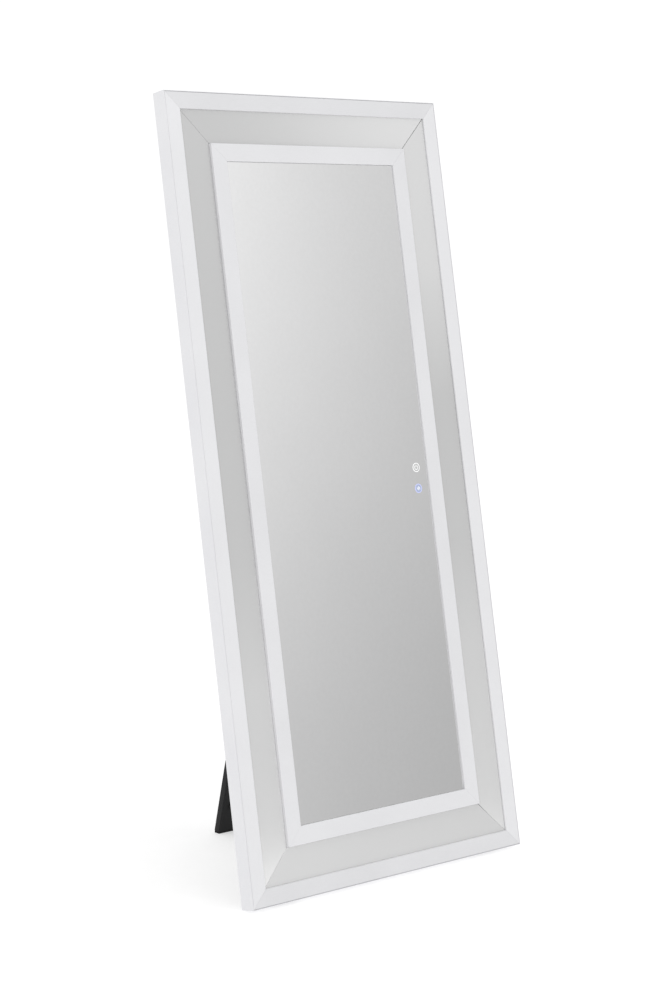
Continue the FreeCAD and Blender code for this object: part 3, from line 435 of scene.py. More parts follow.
# Raw fibreboard: warm brown pressed fibre with no sheen.
RAW_FIBREBOARD = FibreSheet(
    "raw_fibreboard", "B08A5E", "8E6C46", 1.1, 0.06, (0.8, 0.92),
    fixed=(("Specular IOR Level", 0.2),),
)
# Fibreboard coloured charcoal as painted shade, so an open mitre reads as a dark line of shade.
MITRE_SHADE_BOARD = FibreSheet(
    "mitre_shade_board", "3A3A3A", "2A2A2A", 1.1, 0.05, (0.8, 0.92),
    fixed=(("Specular IOR Level", 0.15),),
)
# Painted shade: a dull grey strip laid at the foot of the seam between lip and trim, where shade falls.
DARK_SEAM_SHADE = Finish(
    "seam_shade_strip", "8E8E90", "7A7A7C", 1.0, 0.02, (0.8, 0.92),
    fixed=(("Specular IOR Level", 0.15),),
)
# The same painted shade, close to the white, for the seam on the right, where less shade falls.
LIGHTER_SEAM_SHADE = replace(DARK_SEAM_SHADE, name="lighter_seam_shade", light="D8D8DA", dark="CFCFD1")
# Closed-cell foam: small rounded pores and no shine.
CLOSED_CELL_FOAM = Finish(
    "closed_cell_foam", "E4E4E0", "C9C9C4", 1.0, 0.15, (0.85, 0.95),
    fixed=(("Specular IOR Level", 0.2),),
)
# Flexible light tape: white solder mask, slightly glossy.
LIGHT_TAPE = Finish("light_tape_film", "ECECE6", "D8D6C8", 3.0, 0.05, (0.3, 0.45))
# Black ABS, moulded with a fine spark texture.
BLACK_ABS = Finish(
    "black_abs", "2A2A2C", "1C1C1E", 0.6, 0.06, (0.45, 0.6),
    fixed=(("IOR", 1.52), ("Specular IOR Level", 0.35)),
)
# Circuit board: green solder mask over copper.
SOLDER_MASK = Finish("solder_mask", "2E6B3C", "1D4D2A", 2.0, 0.04, (0.25, 0.4))
# Black perforated speaker cover, moulded.
SPEAKER_COVER = Finish(
    "speaker_cover", "2B2B2B", "191919", 0.7, 0.05, (0.5, 0.66),
    fixed=(("Specular IOR Level", 0.3),),
)
# PVC wire sheath, extruded: smooth and slightly waxy.
WIRE_SHEATH = Finish(
    "wire_sheath", "C4C4C2", "AEAEAC", 1.5, 0.03, (0.35, 0.5),
    fixed=(("Specular IOR Level", 0.4),),
)
# Black rubber, moulded: dull, with a dusty bloom.
BLACK_RUBBER = Finish(
    "black_rubber", "242424", "161616", 0.8, 0.08, (0.7, 0.85),
    fixed=(("Specular IOR Level", 0.25),),
)
# Clear silicone rubber: milky grey and half see-through.
CLEAR_RUBBER = Finish(
    "clear_rubber", "D4D6D6", "BFC2C3", 1.2, 0.04, (0.3, 0.42),
    fixed=(("IOR", 1.41), ("Transmission Weight", 0.35)),
)
# Black powder coat on steel: a tight pebbled skin with soft highlights.
BLACK_POWDER_COAT = Finish(
    "black_powder_coat", "222324", "151617", 0.7, 0.07, (0.42, 0.58),
    fixed=(("IOR", 1.5), ("Specular IOR Level", 0.35)),
)
# Bright zinc plate on steel: pale bluish metal, slightly blotched.
BRIGHT_ZINC = Finish(
    "bright_zinc", "C9CDD2", "A6ABB2", 1.2, 0.01, (0.24, 0.42),
    drift_mm=14.0, fixed=(("Metallic", 1.0),),
)
# The lit discs and lines of the touch marks: soft light through etched silver.
WHITE_GLOW = Glow(
    "white_touch_glow", "B4B4B4", "A8A8A8", 1.5, 0.01, (0.4, 0.5),
    fixed=(("Emission Strength", 0.3),),
)
BRIGHT_GLOW = Glow(
    "bright_touch_glow", "FFFFFF", "F4F5F5", 1.5, 0.01, (0.4, 0.5),
    fixed=(("Emission Strength", 0.25),),
)
BLUE_GLOW = Glow(
    "blue_touch_glow", "A4AEC8", "98A3C0", 1.5, 0.01, (0.4, 0.5),
    fixed=(("Emission Strength", 0.25),),
)
DEEP_BLUE_GLOW = Glow(
    "deep_blue_touch_glow", "C6CAF4", "BBC0EE", 1.5, 0.01, (0.4, 0.5),
    fixed=(("Emission Strength", 0.3),),
)
# A matt white studio floor with a faint unevenness.
STUDIO_FLOOR = Glow(
    "studio_floor", "D2D2D2", "CFCFCF", 40.0, 0.0, (0.8, 0.9),
    drift_mm=700.0, fixed=(("Specular IOR Level", 0.1), ("Emission Strength", 0.8)),
)


@lru_cache(maxsize=None)
def material_of(finish: Finish) -> bpy.types.Material:
    """The one material made for a finish.

    Args:
        finish: the finish.

    Returns:
        Its material, made at the first call.
    """
    return finish.material()


def new_piece(name: str, corners: np.ndarray, faces: list, smooth: bool) -> bpy.types.Object:
    """Makes an object from whole arrays.

    Args:
        name: the piece's name.
        corners: places of the vertices, one row each, in metres.
        faces: vertex numbers of each face.
        smooth: whether the faces shade as one curved surface.

    Returns:
        The object, at the origin.
    """
    mesh = bpy.data.meshes.new(name)
    mesh.from_pydata(corners.tolist(), [], faces)
    if smooth:
        mesh.shade_smooth()
    mesh.update()
    piece = bpy.data.objects.new(name, mesh)
    bpy.context.scene.collection.objects.link(piece)
    return piece


def grid_faces(rows: int, columns: int, close_rows: bool, close_columns: bool) -> np.ndarray:
    """Quads between the points of a grid, joined up where it closes on itself.

    Args:
        rows: number of rows of points.
        columns: number of points in a row.
        close_rows: whether the last row joins the first.
        close_columns: whether the last column joins the first.

    Returns:
        Four vertex numbers for each quad.
    """
    row, column = np.meshgrid(
        np.arange(rows if close_rows else rows - 1),
        np.arange(columns if close_columns else columns - 1),
        indexing="ij",
    )
    next_row, next_column = (row + 1) % rows, (column + 1) % columns
    this, following = row * columns, next_row * columns
    corners = (this + column, this + next_column, following + next_column, following + column)
    return np.stack(corners, axis=-1).reshape(-1, 4)


@dataclass
class Assembly:
    """A sub-assembly: builds its pieces, then dresses them.

    Attributes:
        wardrobe: each piece with the finish it will wear.
    """

    wardrobe: list[tuple[bpy.types.Object, Finish]] = field(default_factory=list)

    def keep(self, finish: Finish, *nodes: str) -> None:
        """Carries CAD nodes over as they are.

        Args:
            finish: what they will wear.
            nodes: their names.
        """
        self.wardrobe += [(frame["nodes"][node], finish) for node in nodes]

    def soften(self, finish: Finish, edge_mm: float, *nodes: str) -> None:
        """Replaces CAD nodes with copies whose edges are rounded.

        Each copy's triangles are merged into flat faces first, and then a
        bevel goes round every sharp edge.

        Args:
            finish: what they will wear.
            edge_mm: width of the rounded edge.
            nodes: their names.
        """
        for node in nodes:
            source = frame["nodes"][node]
            mesh = bpy.data.meshes.new(f"{node}_softened")
            shape = bmesh.new()
            shape.from_mesh(source.data)
            bmesh.ops.remove_doubles(shape, verts=shape.verts, dist=WELD_MM * MM)
            bmesh.ops.dissolve_limit(shape, angle_limit=FLAT_ANGLE, verts=shape.verts, edges=shape.edges)
            shape.to_mesh(mesh)
            shape.free()
            if "custom_normal" in mesh.attributes:
                mesh.attributes.remove(mesh.attributes["custom_normal"])
            mesh.shade_smooth()
            mesh.set_sharp_from_angle(angle=SHARP_ANGLE)
            piece = bpy.data.objects.new(f"{node}_softened", mesh)
            bpy.context.scene.collection.objects.link(piece)
            edge = piece.modifiers.new("rounded_edges", "BEVEL")
            edge.width = edge_mm * MM
            edge.segments = BEVEL_STEPS
            edge.limit_method = "ANGLE"
            edge.angle_limit = SHARP_ANGLE
            edge.harden_normals = True
            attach(piece, body_of(source)[0])
            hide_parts(node)
            self.wardrobe.append((piece, finish))

    def build(self) -> None:
        """Makes the pieces."""
        raise NotImplementedError

    def dress(self) -> None:
        """Gives every piece its finish and reports it."""
        for piece, finish in self.wardrobe:
            if not piece.material_slots:
                piece.data.materials.append(None)
            slot = piece.material_slots[0]
            slot.link = "OBJECT"
            slot.material = material_of(finish)
            LOG.info("%s: %s in %s", type(self).__name__, piece.name, finish.name)


def glass_axes() -> np.ndarray:
    """Across, up and out of the leaning face: it is turned back about the X axis.

    Returns:
        One axis in each row: up is (0, sin, cos) of the lean, out is (0, -cos, sin).
    """
    sine, cosine = math.sin(FACE_LEAN), math.cos(FACE_LEAN)
    return np.array([[1.0, 0.0, 0.0], [0.0, sine, cosine], [0.0, -cosine, sine]])


def reach(nodes: tuple[str, ...]) -> tuple[np.ndarray, np.ndarray]:
    """How far CAD nodes reach across, up and out of the leaning face.

    Args:
        nodes: their names.

    Returns:
        The lowest and highest of each, in metres.
    """
    places = np.vstack([np.array([v.co for v in frame["nodes"][node].data.vertices]) for node in nodes])
    along = places @ glass_axes().T
    return along.min(axis=0), along.max(axis=0)


@dataclass
class Casing(Assembly):
    """The white casing: four lipped rails, mitred, and the blocks inside.

    Attributes:
        edge_mm: width of the rails' rounded edges.
        line_mm: inner and outer distance of the strip of painted seam shade from the rim.
        line_deep_mm: depths of that strip's face and foot below the lip.
    """

    edge_mm: float = 0.8
    line_mm: tuple[float, float] = (1.83, 2.27)
    line_deep_mm: tuple[float, float] = (0.9, 3.8)

    def seam_shade_strip(self, side: str) -> bpy.types.Object:
        """A strip of painted shade in the seam between lip and trim, along one side.

        A small rectangle is carried along the side and mitred at both ends.

        Args:
            side: one of SIDES.

        Returns:
            The piece.
        """
        low, high = reach(tuple(f"casing_rail_{name}" for name in SIDES))
        (near, far), (face, foot) = self.line_mm, self.line_deep_mm
        inset = np.array([near, far, far, near]) * MM
        deep = np.array([face, face, foot, foot]) * MM
        signs = np.array(RIM_CORNERS[side], dtype=float)
        middle, half = (low + high)[:2] / 2, (high - low)[:2] / 2
        flat = middle + signs[:, None, :] * (half - inset[None, :, None])
        outward = np.broadcast_to(high[2] - deep, (2, 4))[..., None]
        corners = np.concatenate([flat, outward], axis=-1).reshape(-1, 3) @ glass_axes()
        walls = grid_faces(2, 4, False, True)[:, ::-1].tolist()
        line = new_piece(f"casing_joint_line_{side}", corners, walls + [[0, 1, 2, 3], [7, 6, 5, 4]], False)
        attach(line, "panel")
        return line

    def build(self) -> None:
        """Rounds the rails' edges, lays the strips of painted seam shade and keeps the hidden blocks."""
        for side in SIDES:
            # The right side's seam gets the paler painted shade.
            self.wardrobe.append((self.seam_shade_strip(side), LIGHTER_SEAM_SHADE if side == "right" else DARK_SEAM_SHADE))
        self.soften(SATIN_LACQUER, self.edge_mm, *(f"casing_rail_{side}" for side in SIDES))
        self.keep(RAW_FIBREBOARD, "corner_blocks", "backer_blocks")


@dataclass
class FaceBorder(Assembly):
    """The border of the face: trims, sloping mirrors on their beds, light strip.

    Attributes:
        trim_edge_mm: width of the trims' rounded edges.
        glass_edge_mm: width of the border mirrors' ground edges.
        diffuser_edge_mm: width of the diffusers' rounded edges.
    """

    trim_edge_mm: float = 0.55
    glass_edge_mm: float = 0.35
    diffuser_edge_mm: float = 0.6

    def build(self) -> None:
        """Rounds each strip's edges."""
        # The top and bottom trims wear the copy with painted shade.
        trims = {"left": TRIM_UPRIGHT, "right": TRIM_UPRIGHT, "top": LEVEL_TRIM_SHADED, "bottom": LEVEL_TRIM_SHADED}
        for side, trim in trims.items():
            # The top strip wears its own painted reflection.
            silver = SILVER_TOP_PAINTED_REFLECTION if side == "top" else SATIN_SILVERED
            self.soften(trim, self.trim_edge_mm, f"face_trim_{side}")
            self.soften(silver, self.glass_edge_mm, f"border_mirror_{side}")
            self.soften(OPAL_ACRYLIC, self.diffuser_edge_mm, f"diffuser_{side}")
            # The beds' charcoal colour is painted shade for the open mitres.
            self.keep(MITRE_SHADE_BOARD, f"border_bed_{side}")
        self.keep(LIGHT_TAPE, "light_strips")


@dataclass
class CentreGlass(Assembly):
    """The mirror itself, the pads behind it and the board that carries it.

    Attributes:
        arris_mm: width of the mirror's ground edge.
    """

    arris_mm: float = 0.7

    def build(self) -> None:
        """Grinds the mirror's arris and keeps what is behind it."""
        self.soften(SILVERED_GLASS, self.arris_mm, "centre_mirror")
        self.keep(CLOSED_CELL_FOAM, "mirror_foam_pads")
        self.keep(RAW_FIBREBOARD, "support_board")


def spokes(turn: np.ndarray) -> np.ndarray:
    """Unit arrows at the given angles.

    Args:
        turn: angles from the right, anticlockwise, in radians.

    Returns:
        Rows of across and up.
    """
    return np.stack([np.cos(turn), np.sin(turn)], axis=-1)


@dataclass
class TouchMarks(Assembly):
    """Two glowing touch marks on the mirror, one over each touch sensor.

    Attributes:
        radius_mm: outside radius of a mark.
        rim_mm: width of its bright rim.
        disc_mm: how far the lit disc stands off the glass.
        line_mm: how far the rim and symbol stand off the glass.
        inset_mm: how far inside the mark's radius the disc ends.
        ring_mm: outside radius and width of the light symbol's ring.
        ring_sweep: first and last angle of that ring, in degrees.
        light_bar_mm: width, height and middle's height of its bar.
        sound_bar_mm: width of the sound symbol's bars.
        sound_bars_mm: place across and height of each of them.
        round_steps: sides that stand for a full circle.
        end_steps: points round the half circle at a bar's end.
    """

    radius_mm: float = 9.6
    rim_mm: float = 1.3
    disc_mm: float = 0.12
    line_mm: float = 0.22
    inset_mm: float = 0.4
    ring_mm: tuple[float, float] = (4.9, 1.2)
    ring_sweep: tuple[float, float] = (125.0, 415.0)
    light_bar_mm: tuple[float, float, float] = (1.2, 4.6, 3.6)
    sound_bar_mm: float = 1.5
    sound_bars_mm: tuple[tuple[float, float], ...] = ((-3.4, 4.2), (0.0, 8.6), (3.4, 5.8))
    round_steps: int = 64
    end_steps: int = 13

    def place(self, points: np.ndarray, centre: np.ndarray) -> np.ndarray:
        """Turns points given across, up and out of the glass into the world.

        Args:
            points: rows of across, up and out, in millimetres.
            centre: the mark's middle on the glass, in metres.

        Returns:
            Rows of places in metres.
        """
        return points @ glass_axes() * MM + centre

    def on_glass(self, sensor: str) -> np.ndarray:
        """The point of the mirror's face straight in front of a sensor.

        Args:
            sensor: the sensor's CAD node.

        Returns:
            The point, in metres.
        """
        low, high = reach((sensor,))
        _, glass = reach(("centre_mirror",))
        middle = (low + high) / 2
        middle[2] = glass[2]
        return middle @ glass_axes()

    def prism(
        self, name: str, outline: np.ndarray, high: float, centre: np.ndarray,
    ) -> bpy.types.Object:
        """A flat plate on the glass: the outline at two heights, joined by side walls.

        Args:
            name: the piece's name.
            outline: rows of across and up, counter-clockwise, millimetres.
            high: height of its front, in millimetres off the glass.
            centre: the mark's middle on the glass.

        Returns:
            The piece.
        """
        count = len(outline)
        heights = np.repeat([0.0, high], count)[:, None]
        points = np.hstack([np.tile(outline, (2, 1)), heights])
        walls = grid_faces(2, count, False, True).tolist()
        caps = [list(range(count))[::-1], list(range(count, 2 * count))]
        return new_piece(name, self.place(points, centre), walls + caps, False)

    def arc(
        self, name: str, radius: float, width: float, sweep: tuple[float, float], centre: np.ndarray,
    ) -> bpy.types.Object:
        """A flat ring or part of one: an outline out along one radius and back along another.

        Args:
            name: the piece's name.
            radius: its outside radius in millimetres.
            width: its width.
            sweep: first and last angle in degrees, from the right, anticlockwise.
            centre: the mark's middle on the glass.

        Returns:
            The piece.
        """
        full = sweep == FULL_CIRCLE
        turn = np.radians(np.linspace(*sweep, self.round_steps + 1))
        turn = turn[:-1] if full else turn
        inner, high = radius - width, self.line_mm
        section = np.array([[radius, 0.0], [radius, high], [inner, high], [inner, 0.0]])
        across = np.cos(turn)[:, None] * section[None, :, 0]
        upwards = np.sin(turn)[:, None] * section[None, :, 0]
        outward = np.broadcast_to(section[None, :, 1], across.shape)
        points = np.stack([across, upwards, outward], axis=-1).reshape(-1, 3)
        faces = grid_faces(len(turn), 4, full, True)[:, ::-1].tolist()
        if not full:
            last = 4 * (len(turn) - 1)
            faces += [[0, 1, 2, 3], [last + 3, last + 2, last + 1, last]]
        return new_piece(name, self.place(points, centre), faces, False)

    def rounded_bar(self, width: float, height: float, across: float, upwards: float) -> np.ndarray:
        """Outline of an upright bar with half-round ends.

        Args:
            width: its width in millimetres.
            height: its whole height.
            across: its middle, across.
            upwards: its middle, up.

        Returns:
            Rows of across and up, counter-clockwise.
        """
        end = spokes(np.linspace(0.0, math.pi, self.end_steps))
        rise = (height - width) / 2
        upper = end * width / 2 + (across, upwards + rise)
        lower = -end * width / 2 + (across, upwards - rise)
        return np.vstack([upper, lower])

    def mark(self, sensor: str, disc: Finish, lines: Finish) -> np.ndarray:
        """The lit disc and bright rim that both marks share.

        Args:
            sensor: the CAD node of the sensor behind it.
            disc: the disc's finish.
            lines: the rim's finish.

        Returns:
            The mark's middle on the glass.
        """
        centre = self.on_glass(sensor)
        turn = np.linspace(0.0, 2 * math.pi, self.round_steps, endpoint=False)
        edge = spokes(turn) * (self.radius_mm - self.inset_mm)
        self.add(self.prism(f"{sensor}_disc", edge, self.disc_mm, centre), disc)
        self.add(self.arc(f"{sensor}_rim", self.radius_mm, self.rim_mm, FULL_CIRCLE, centre), lines)
        return centre

    def add(self, piece: bpy.types.Object, finish: Finish) -> None:
        """Rides a new piece on the panel and notes its finish.

        Args:
            piece: the new piece.
            finish: what it will wear.
        """
        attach(piece, "panel")
        self.wardrobe.append((piece, finish))

    def build(self) -> None:
        """Makes the light mark, a ring with a bar, and the sound mark, three bars."""
        light = self.mark("touch_sensor_light", WHITE_GLOW, BRIGHT_GLOW)
        ring = self.arc("touch_sensor_light_ring", *self.ring_mm, self.ring_sweep, light)
        self.add(ring, BRIGHT_GLOW)
        width, height, upwards = self.light_bar_mm
        bar = self.rounded_bar(width, height, 0.0, upwards)
        self.add(self.prism("touch_sensor_light_bar", bar, self.line_mm, light), BRIGHT_GLOW)
        sound = self.mark("touch_sensor_sound", BLUE_GLOW, DEEP_BLUE_GLOW)
        for number, (across, height) in enumerate(self.sound_bars_mm):
            bar = self.rounded_bar(self.sound_bar_mm, height, across, 0.0)
            piece = self.prism(f"touch_sensor_sound_bar_{number}", bar, self.line_mm, sound)
            self.add(piece, BRIGHT_GLOW)


@dataclass
class Electrics(Assembly):
    """What makes the mirror light up and play: sensors, box, speakers, wires.

    Attributes:
        box_edge_mm: width of the control box's rounded edges.
    """

    box_edge_mm: float = 0.8

    def build(self) -> None:
        """Rounds the control box and keeps the rest."""
        self.soften(BLACK_ABS, self.box_edge_mm, "control_box_base", "control_box_lid")
        self.keep(BLACK_ABS, "touch_sensor_light", "touch_sensor_sound", "power_inlet")
        self.keep(SOLDER_MASK, "control_card")
        speakers = (f"{kind}_{side}" for kind in ("speaker", "speaker_grille") for side in ("left", "right"))
        self.keep(SPEAKER_COVER, *speakers)
        self.keep(WIRE_SHEATH, "wiring_harness", "wire_clips")


@dataclass
class Back(Assembly):
    """The back panel, its screws and the feet under the frame.

    Attributes:
        foot_edge_mm: width of the feet's rounded edges.
    """

    foot_edge_mm: float = 0.6

    def build(self) -> None:
        """Keeps the panel and screws and rounds the feet."""
        self.keep(BLACK_HARDBOARD, "back_panel")
        self.keep(BRIGHT_ZINC, "back_panel_screws")
        self.soften(CLEAR_RUBBER, self.foot_edge_mm, "frame_foot_left", "frame_foot_right")


@dataclass
class RearLeg(Assembly):
    """The hinged leg with its foot pad, bumpers, hinge and screws.

    Attributes:
        board_edge_mm: width of the boards' rounded edges.
        pad_edge_mm: width of the foot pad's.
        steel_edge_mm: width of the hinge leaves'.
    """

    board_edge_mm: float = 1.0
    pad_edge_mm: float = 0.8
    steel_edge_mm: float = 0.2

    def build(self) -> None:
        """Rounds the board, pad and hinge leaves, and keeps the small fixings."""
        self.soften(BLACK_MELAMINE, self.board_edge_mm, "leg_board", "hinge_block")
        self.soften(BLACK_RUBBER, self.pad_edge_mm, "leg_foot_pad")
        self.soften(BLACK_POWDER_COAT, self.steel_edge_mm, "hinge_panel_leaf", "hinge_leg_leaf")
        self.keep(BLACK_RUBBER, "leg_bumpers")
        self.keep(BRIGHT_ZINC, "hinge_pin", "hinge_panel_screws", "leg_screws")


@dataclass
class Stays(Assembly):
    """The folding side stays: four arms, their brackets, rivets and screws.

    Attributes:
        steel_edge_mm: width of the steel's rounded edges.
    """

    steel_edge_mm: float = 0.3

    def build(self) -> None:
        """Rounds the arms and brackets and keeps the fixings."""
        arms = [f"stay_{end}_arm_{side}" for end in ("panel", "leg") for side in ("left", "right")]
        brackets = ("stay_panel_brackets", "stay_leg_brackets")
        self.soften(BLACK_POWDER_COAT, self.steel_edge_mm, *arms, *brackets)
        self.keep(BRIGHT_ZINC, "stay_panel_rivets", "stay_leg_rivets", "stay_panel_screws")


def glow_material(name: str, strength: float, attribute: str = "") -> bpy.types.Material:
    """A material that only gives off light.

    Args:
        name: its name.
        strength: how strongly it glows.
        attribute: the mesh attribute that colours it; white without one.

    Returns:
        The material, which is never sampled as a lamp.
    """
    made = bpy.data.materials.new(name)
    made.use_nodes = True
    tree = made.node_tree
    tree.nodes.clear()
    links = {}
    if attribute:
        source = add_node(tree, "ShaderNodeAttribute", {"attribute_name": attribute})
        links["Color"] = source.outputs["Color"]
    lamp = add_node(tree, "ShaderNodeEmission", {"Strength": strength}, links)
    add_node(tree, "ShaderNodeOutputMaterial", links={"Surface": lamp.outputs["Emission"]})
    made.cycles.emission_sampling = "NONE"
    return made


def soft_step(degrees: np.ndarray, middle: float, half_width: float) -> np.ndarray:
    """A smooth step from -1 to 1.

    Args:
        degrees: where it is wanted.
        middle: where it crosses zero.
        half_width: how far past that it has risen to 0.76, the tanh of one.

    Returns:
        Its height at each place.
    """
    return np.tanh((degrees - middle) / half_width)


@dataclass(frozen=True)
class Radiance:
    """Brightness of the surroundings: a plane in two soft steps and their bend.

    Attributes:
        bearing_step: middle and half width of the step by bearing, in degrees.
        rise_step: middle and half width of the step by height, in degrees.
        rise_gain: height of the step by height.
        level: brightness where both steps are midway.
        by_side: change with the step by bearing.
        by_rise: change with the step by height.
        by_both: change with their product.
        by_square: change with the square of the step by bearing.
        least: the darkest it gets.
        most: the brightest it gets.
        blue: how much stronger the blue is than the rest.
    """

    bearing_step: tuple[float, float] = (41.0, 10.0)
    rise_step: tuple[float, float] = (10.0, 16.0)
    rise_gain: float = 1.6
    level: float = 0.66
    by_side: float = -0.185
    by_rise: float = 0.127
    by_both: float = -0.072
    by_square: float = 0.055
    least: float = 0.4
    most: float = 0.97
    blue: float = 1.003

    def colours(self, rise: np.ndarray, bearing: np.ndarray) -> np.ndarray:
        """Colour of every point of a globe.

        Args:
            rise: angle of each row, in radians.
            bearing: angle of each column.

        Returns:
            Rows of red, green, blue and alpha.
        """
        side = soft_step(np.degrees(bearing), *self.bearing_step)
        height = self.rise_gain * soft_step(np.degrees(rise), *self.rise_step)
        plane = self.level + self.by_side * side + self.by_rise * height
        light = plane + self.by_both * side * height + self.by_square * side**2
        grey = np.clip(light, self.least, self.most).reshape(-1, 1)
        return np.hstack([grey, grey, grey * self.blue, np.ones_like(grey)])


@dataclass(frozen=True)
class Globe:
    """A globe round the studio, open at its poles.

    Attributes:
        name: its name.
        rows: points from bottom to top.
        columns: points round it.
        radius: its radius in metres.
        middle: height of its middle in metres.
        front: -1 if bearing zero is ahead of the glass, 1 if it is behind.
    """

    name: str
    rows: int
    columns: int
    radius: float
    middle: float
    front: int

    def angles(self) -> tuple[np.ndarray, np.ndarray]:
        """Rise of each row and bearing of each column.

        Returns:
            The two, in radians.
        """
        rise = np.radians(np.linspace(-GLOBE_REACH, GLOBE_REACH, self.rows))
        bearing = np.radians(np.linspace(-180.0, 180.0, self.columns + 1)[:-1])
        return rise[:, None], bearing[None, :]

    def hang(self) -> bpy.types.Object:
        """Makes the globe.

        Returns:
            The piece, without a material.
        """
        rise, bearing = self.angles()
        across = np.cos(rise) * np.sin(bearing)
        along = self.front * np.cos(rise) * np.cos(bearing)
        upwards = np.broadcast_to(np.sin(rise), across.shape)
        points = np.stack([across, along, upwards], axis=-1).reshape(-1, 3) * self.radius
        points[:, 2] += self.middle
        faces = grid_faces(self.rows, self.columns, False, True).tolist()
        return new_piece(self.name, points, faces, True)


@dataclass(frozen=True)
class Softbox:
    """A soft square light.

    Attributes:
        name: its name.
        place: where it hangs, in metres.
        aim: what it points at.
        side: the length of its side.
        power: its power in watts.
    """

    name: str
    place: tuple[float, float, float]
    aim: tuple[float, float, float]
    side: float
    power: float


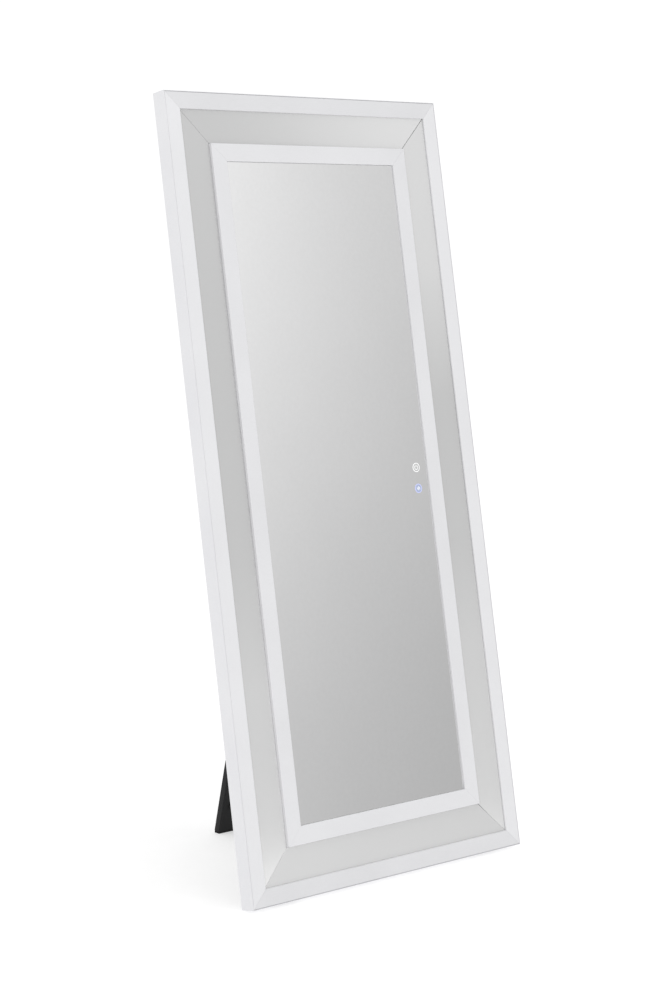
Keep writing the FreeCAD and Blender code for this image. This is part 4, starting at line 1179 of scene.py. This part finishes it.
@dataclass
class Studio:
    """The floor, the surroundings seen in the glass, the lights and the camera.

    Attributes:
        floor_half: half the floor's side in metres.
        floor_points: points along the floor's side.
        floor_drop: how far under the feet it lies, in metres.
        surroundings: the globe that the glass reflects.
        radiance: how bright that globe is.
        backdrop: the globe of the plain background.
        backdrop_strength: how strongly it glows.
        air_strength: strength of the even light from all round.
        softboxes: the lights.
        camera_place: where the camera is, in metres.
        camera_dip: how far it looks down, in degrees.
        camera_turn: how far it is turned about the upright, in degrees.
        lens_mm: focal length.
        sensor_mm: width of its sensor.
        lens_shift: shift of the picture across and up.
        far: how far it sees, in metres.
    """

    floor_half: float = 9.0
    floor_points: int = 13
    floor_drop: float = 0.2 * MM
    surroundings: Globe = Globe("mirror_surroundings", 90, 180, 6.0, 0.8, -1)
    radiance: Radiance = Radiance()
    backdrop: Globe = Globe("studio_backdrop", 40, 80, 18.0, 0.0, 1)
    backdrop_strength: float = 1.05
    air_strength: float = 0.9
    softboxes: tuple[Softbox, ...] = (
        Softbox("overhead_softbox", (0.0, -0.6, 4.2), (0.0, 0.0, 0.0), 3.4, 18.0),
        Softbox("side_softbox", (-3.6, -1.8, 2.4), (0.0, 0.0, 0.8), 2.2, 6.0),
    )
    camera_place: tuple[float, float, float] = (-2.9678, -3.5278, 1.3127)
    camera_dip: float = 4.067
    camera_turn: float = -40.128
    lens_mm: float = 80.15
    sensor_mm: float = 36.0
    lens_shift: tuple[float, float] = (0.0198, -0.1134)
    far: float = 60.0

    def lay_floor(self) -> None:
        """A square grid just under the feet."""
        count = self.floor_points
        side = np.linspace(-self.floor_half, self.floor_half, count)
        across, along = np.meshgrid(side, side, indexing="ij")
        level = np.full_like(across, -self.floor_drop)
        points = np.stack([across, along, level], axis=-1).reshape(-1, 3)
        faces = grid_faces(count, count, False, False)[:, ::-1].tolist()
        floor = new_piece("studio_floor", points, faces, False)
        floor.data.materials.append(material_of(STUDIO_FLOOR))

    def hang_surroundings(self) -> None:
        """A globe that only reflections see, brighter upwards and to the left.

        The glass shows one smooth gradient from a light corner to a dark one.
        """
        globe = self.surroundings.hang()
        glow = globe.data.attributes.new("radiance", "FLOAT_COLOR", "POINT")
        glow.data.foreach_set("color", self.radiance.colours(*self.surroundings.angles()).ravel())
        globe.data.materials.append(glow_material("surroundings", 1.0, "radiance"))
        self.show_only(globe, glossy=True)

    def hang_backdrop(self) -> None:
        """A white globe that only the camera sees: the plain background."""
        globe = self.backdrop.hang()
        globe.data.materials.append(glow_material("white_backdrop", self.backdrop_strength))
        self.show_only(globe, camera=True)

    def show_only(self, globe: bpy.types.Object, camera: bool = False, glossy: bool = False) -> None:
        """Puts a globe on the stage and hides it from every other kind of ray.

        Args:
            globe: the globe.
            camera: whether the camera sees it.
            glossy: whether reflections see it.
        """
        globe.visible_camera = camera
        globe.visible_glossy = glossy
        globe.visible_diffuse = False
        globe.visible_transmission = False
        globe.visible_volume_scatter = False
        globe.visible_shadow = False

    def add_light(self, box: Softbox) -> None:
        """Hangs one light.

        Args:
            box: the light.
        """
        lamp = bpy.data.lights.new(box.name, "AREA")
        lamp.energy = box.power
        lamp.size = box.side
        holder = bpy.data.objects.new(box.name, lamp)
        holder.location = box.place
        holder.rotation_euler = (Vector(box.aim) - Vector(box.place)).to_track_quat("-Z", "Y").to_euler()
        holder.visible_glossy = False
        bpy.context.scene.collection.objects.link(holder)

    def light(self) -> None:
        """Even white surroundings, an overhead softbox and a weak side one."""
        world = bpy.data.worlds.new("studio_air")
        world.use_nodes = True
        tree = world.node_tree
        tree.nodes.clear()
        white = {"Color": (1.0, 1.0, 1.0, 1.0), "Strength": self.air_strength}
        air = add_node(tree, "ShaderNodeBackground", white)
        add_node(tree, "ShaderNodeOutputWorld", links={"Surface": air.outputs["Background"]})
        bpy.context.scene.world = world
        for box in self.softboxes:
            self.add_light(box)

    def set_camera(self) -> None:
        """The camera: left of the front, level with the upper part of the glass."""
        lens = bpy.data.cameras.new("studio_camera")
        lens.lens = self.lens_mm
        lens.sensor_width = self.sensor_mm
        lens.shift_x, lens.shift_y = self.lens_shift
        lens.clip_end = self.far
        holder = bpy.data.objects.new("studio_camera", lens)
        holder.location = self.camera_place
        tilt = math.radians(90.0 - self.camera_dip)
        holder.rotation_euler = (tilt, 0.0, math.radians(self.camera_turn))
        bpy.context.scene.collection.objects.link(holder)
        bpy.context.scene.camera = holder
        bpy.context.scene.view_settings.view_transform = "Standard"

    def build(self) -> None:
        """Sets up camera, floor, surroundings and lights in that order."""
        self.set_camera()
        self.lay_floor()
        self.hang_surroundings()
        self.hang_backdrop()
        self.light()


def main() -> None:
    """Builds the studio and every sub-assembly, in order."""
    logging.basicConfig(level=logging.INFO, format="%(message)s")
    Studio().build()
    for kind in (Casing, FaceBorder, CentreGlass, TouchMarks, Electrics, Back, RearLeg, Stays):
        assembly = kind()
        assembly.build()
        assembly.dress()


if __name__ == "__main__":
    main()
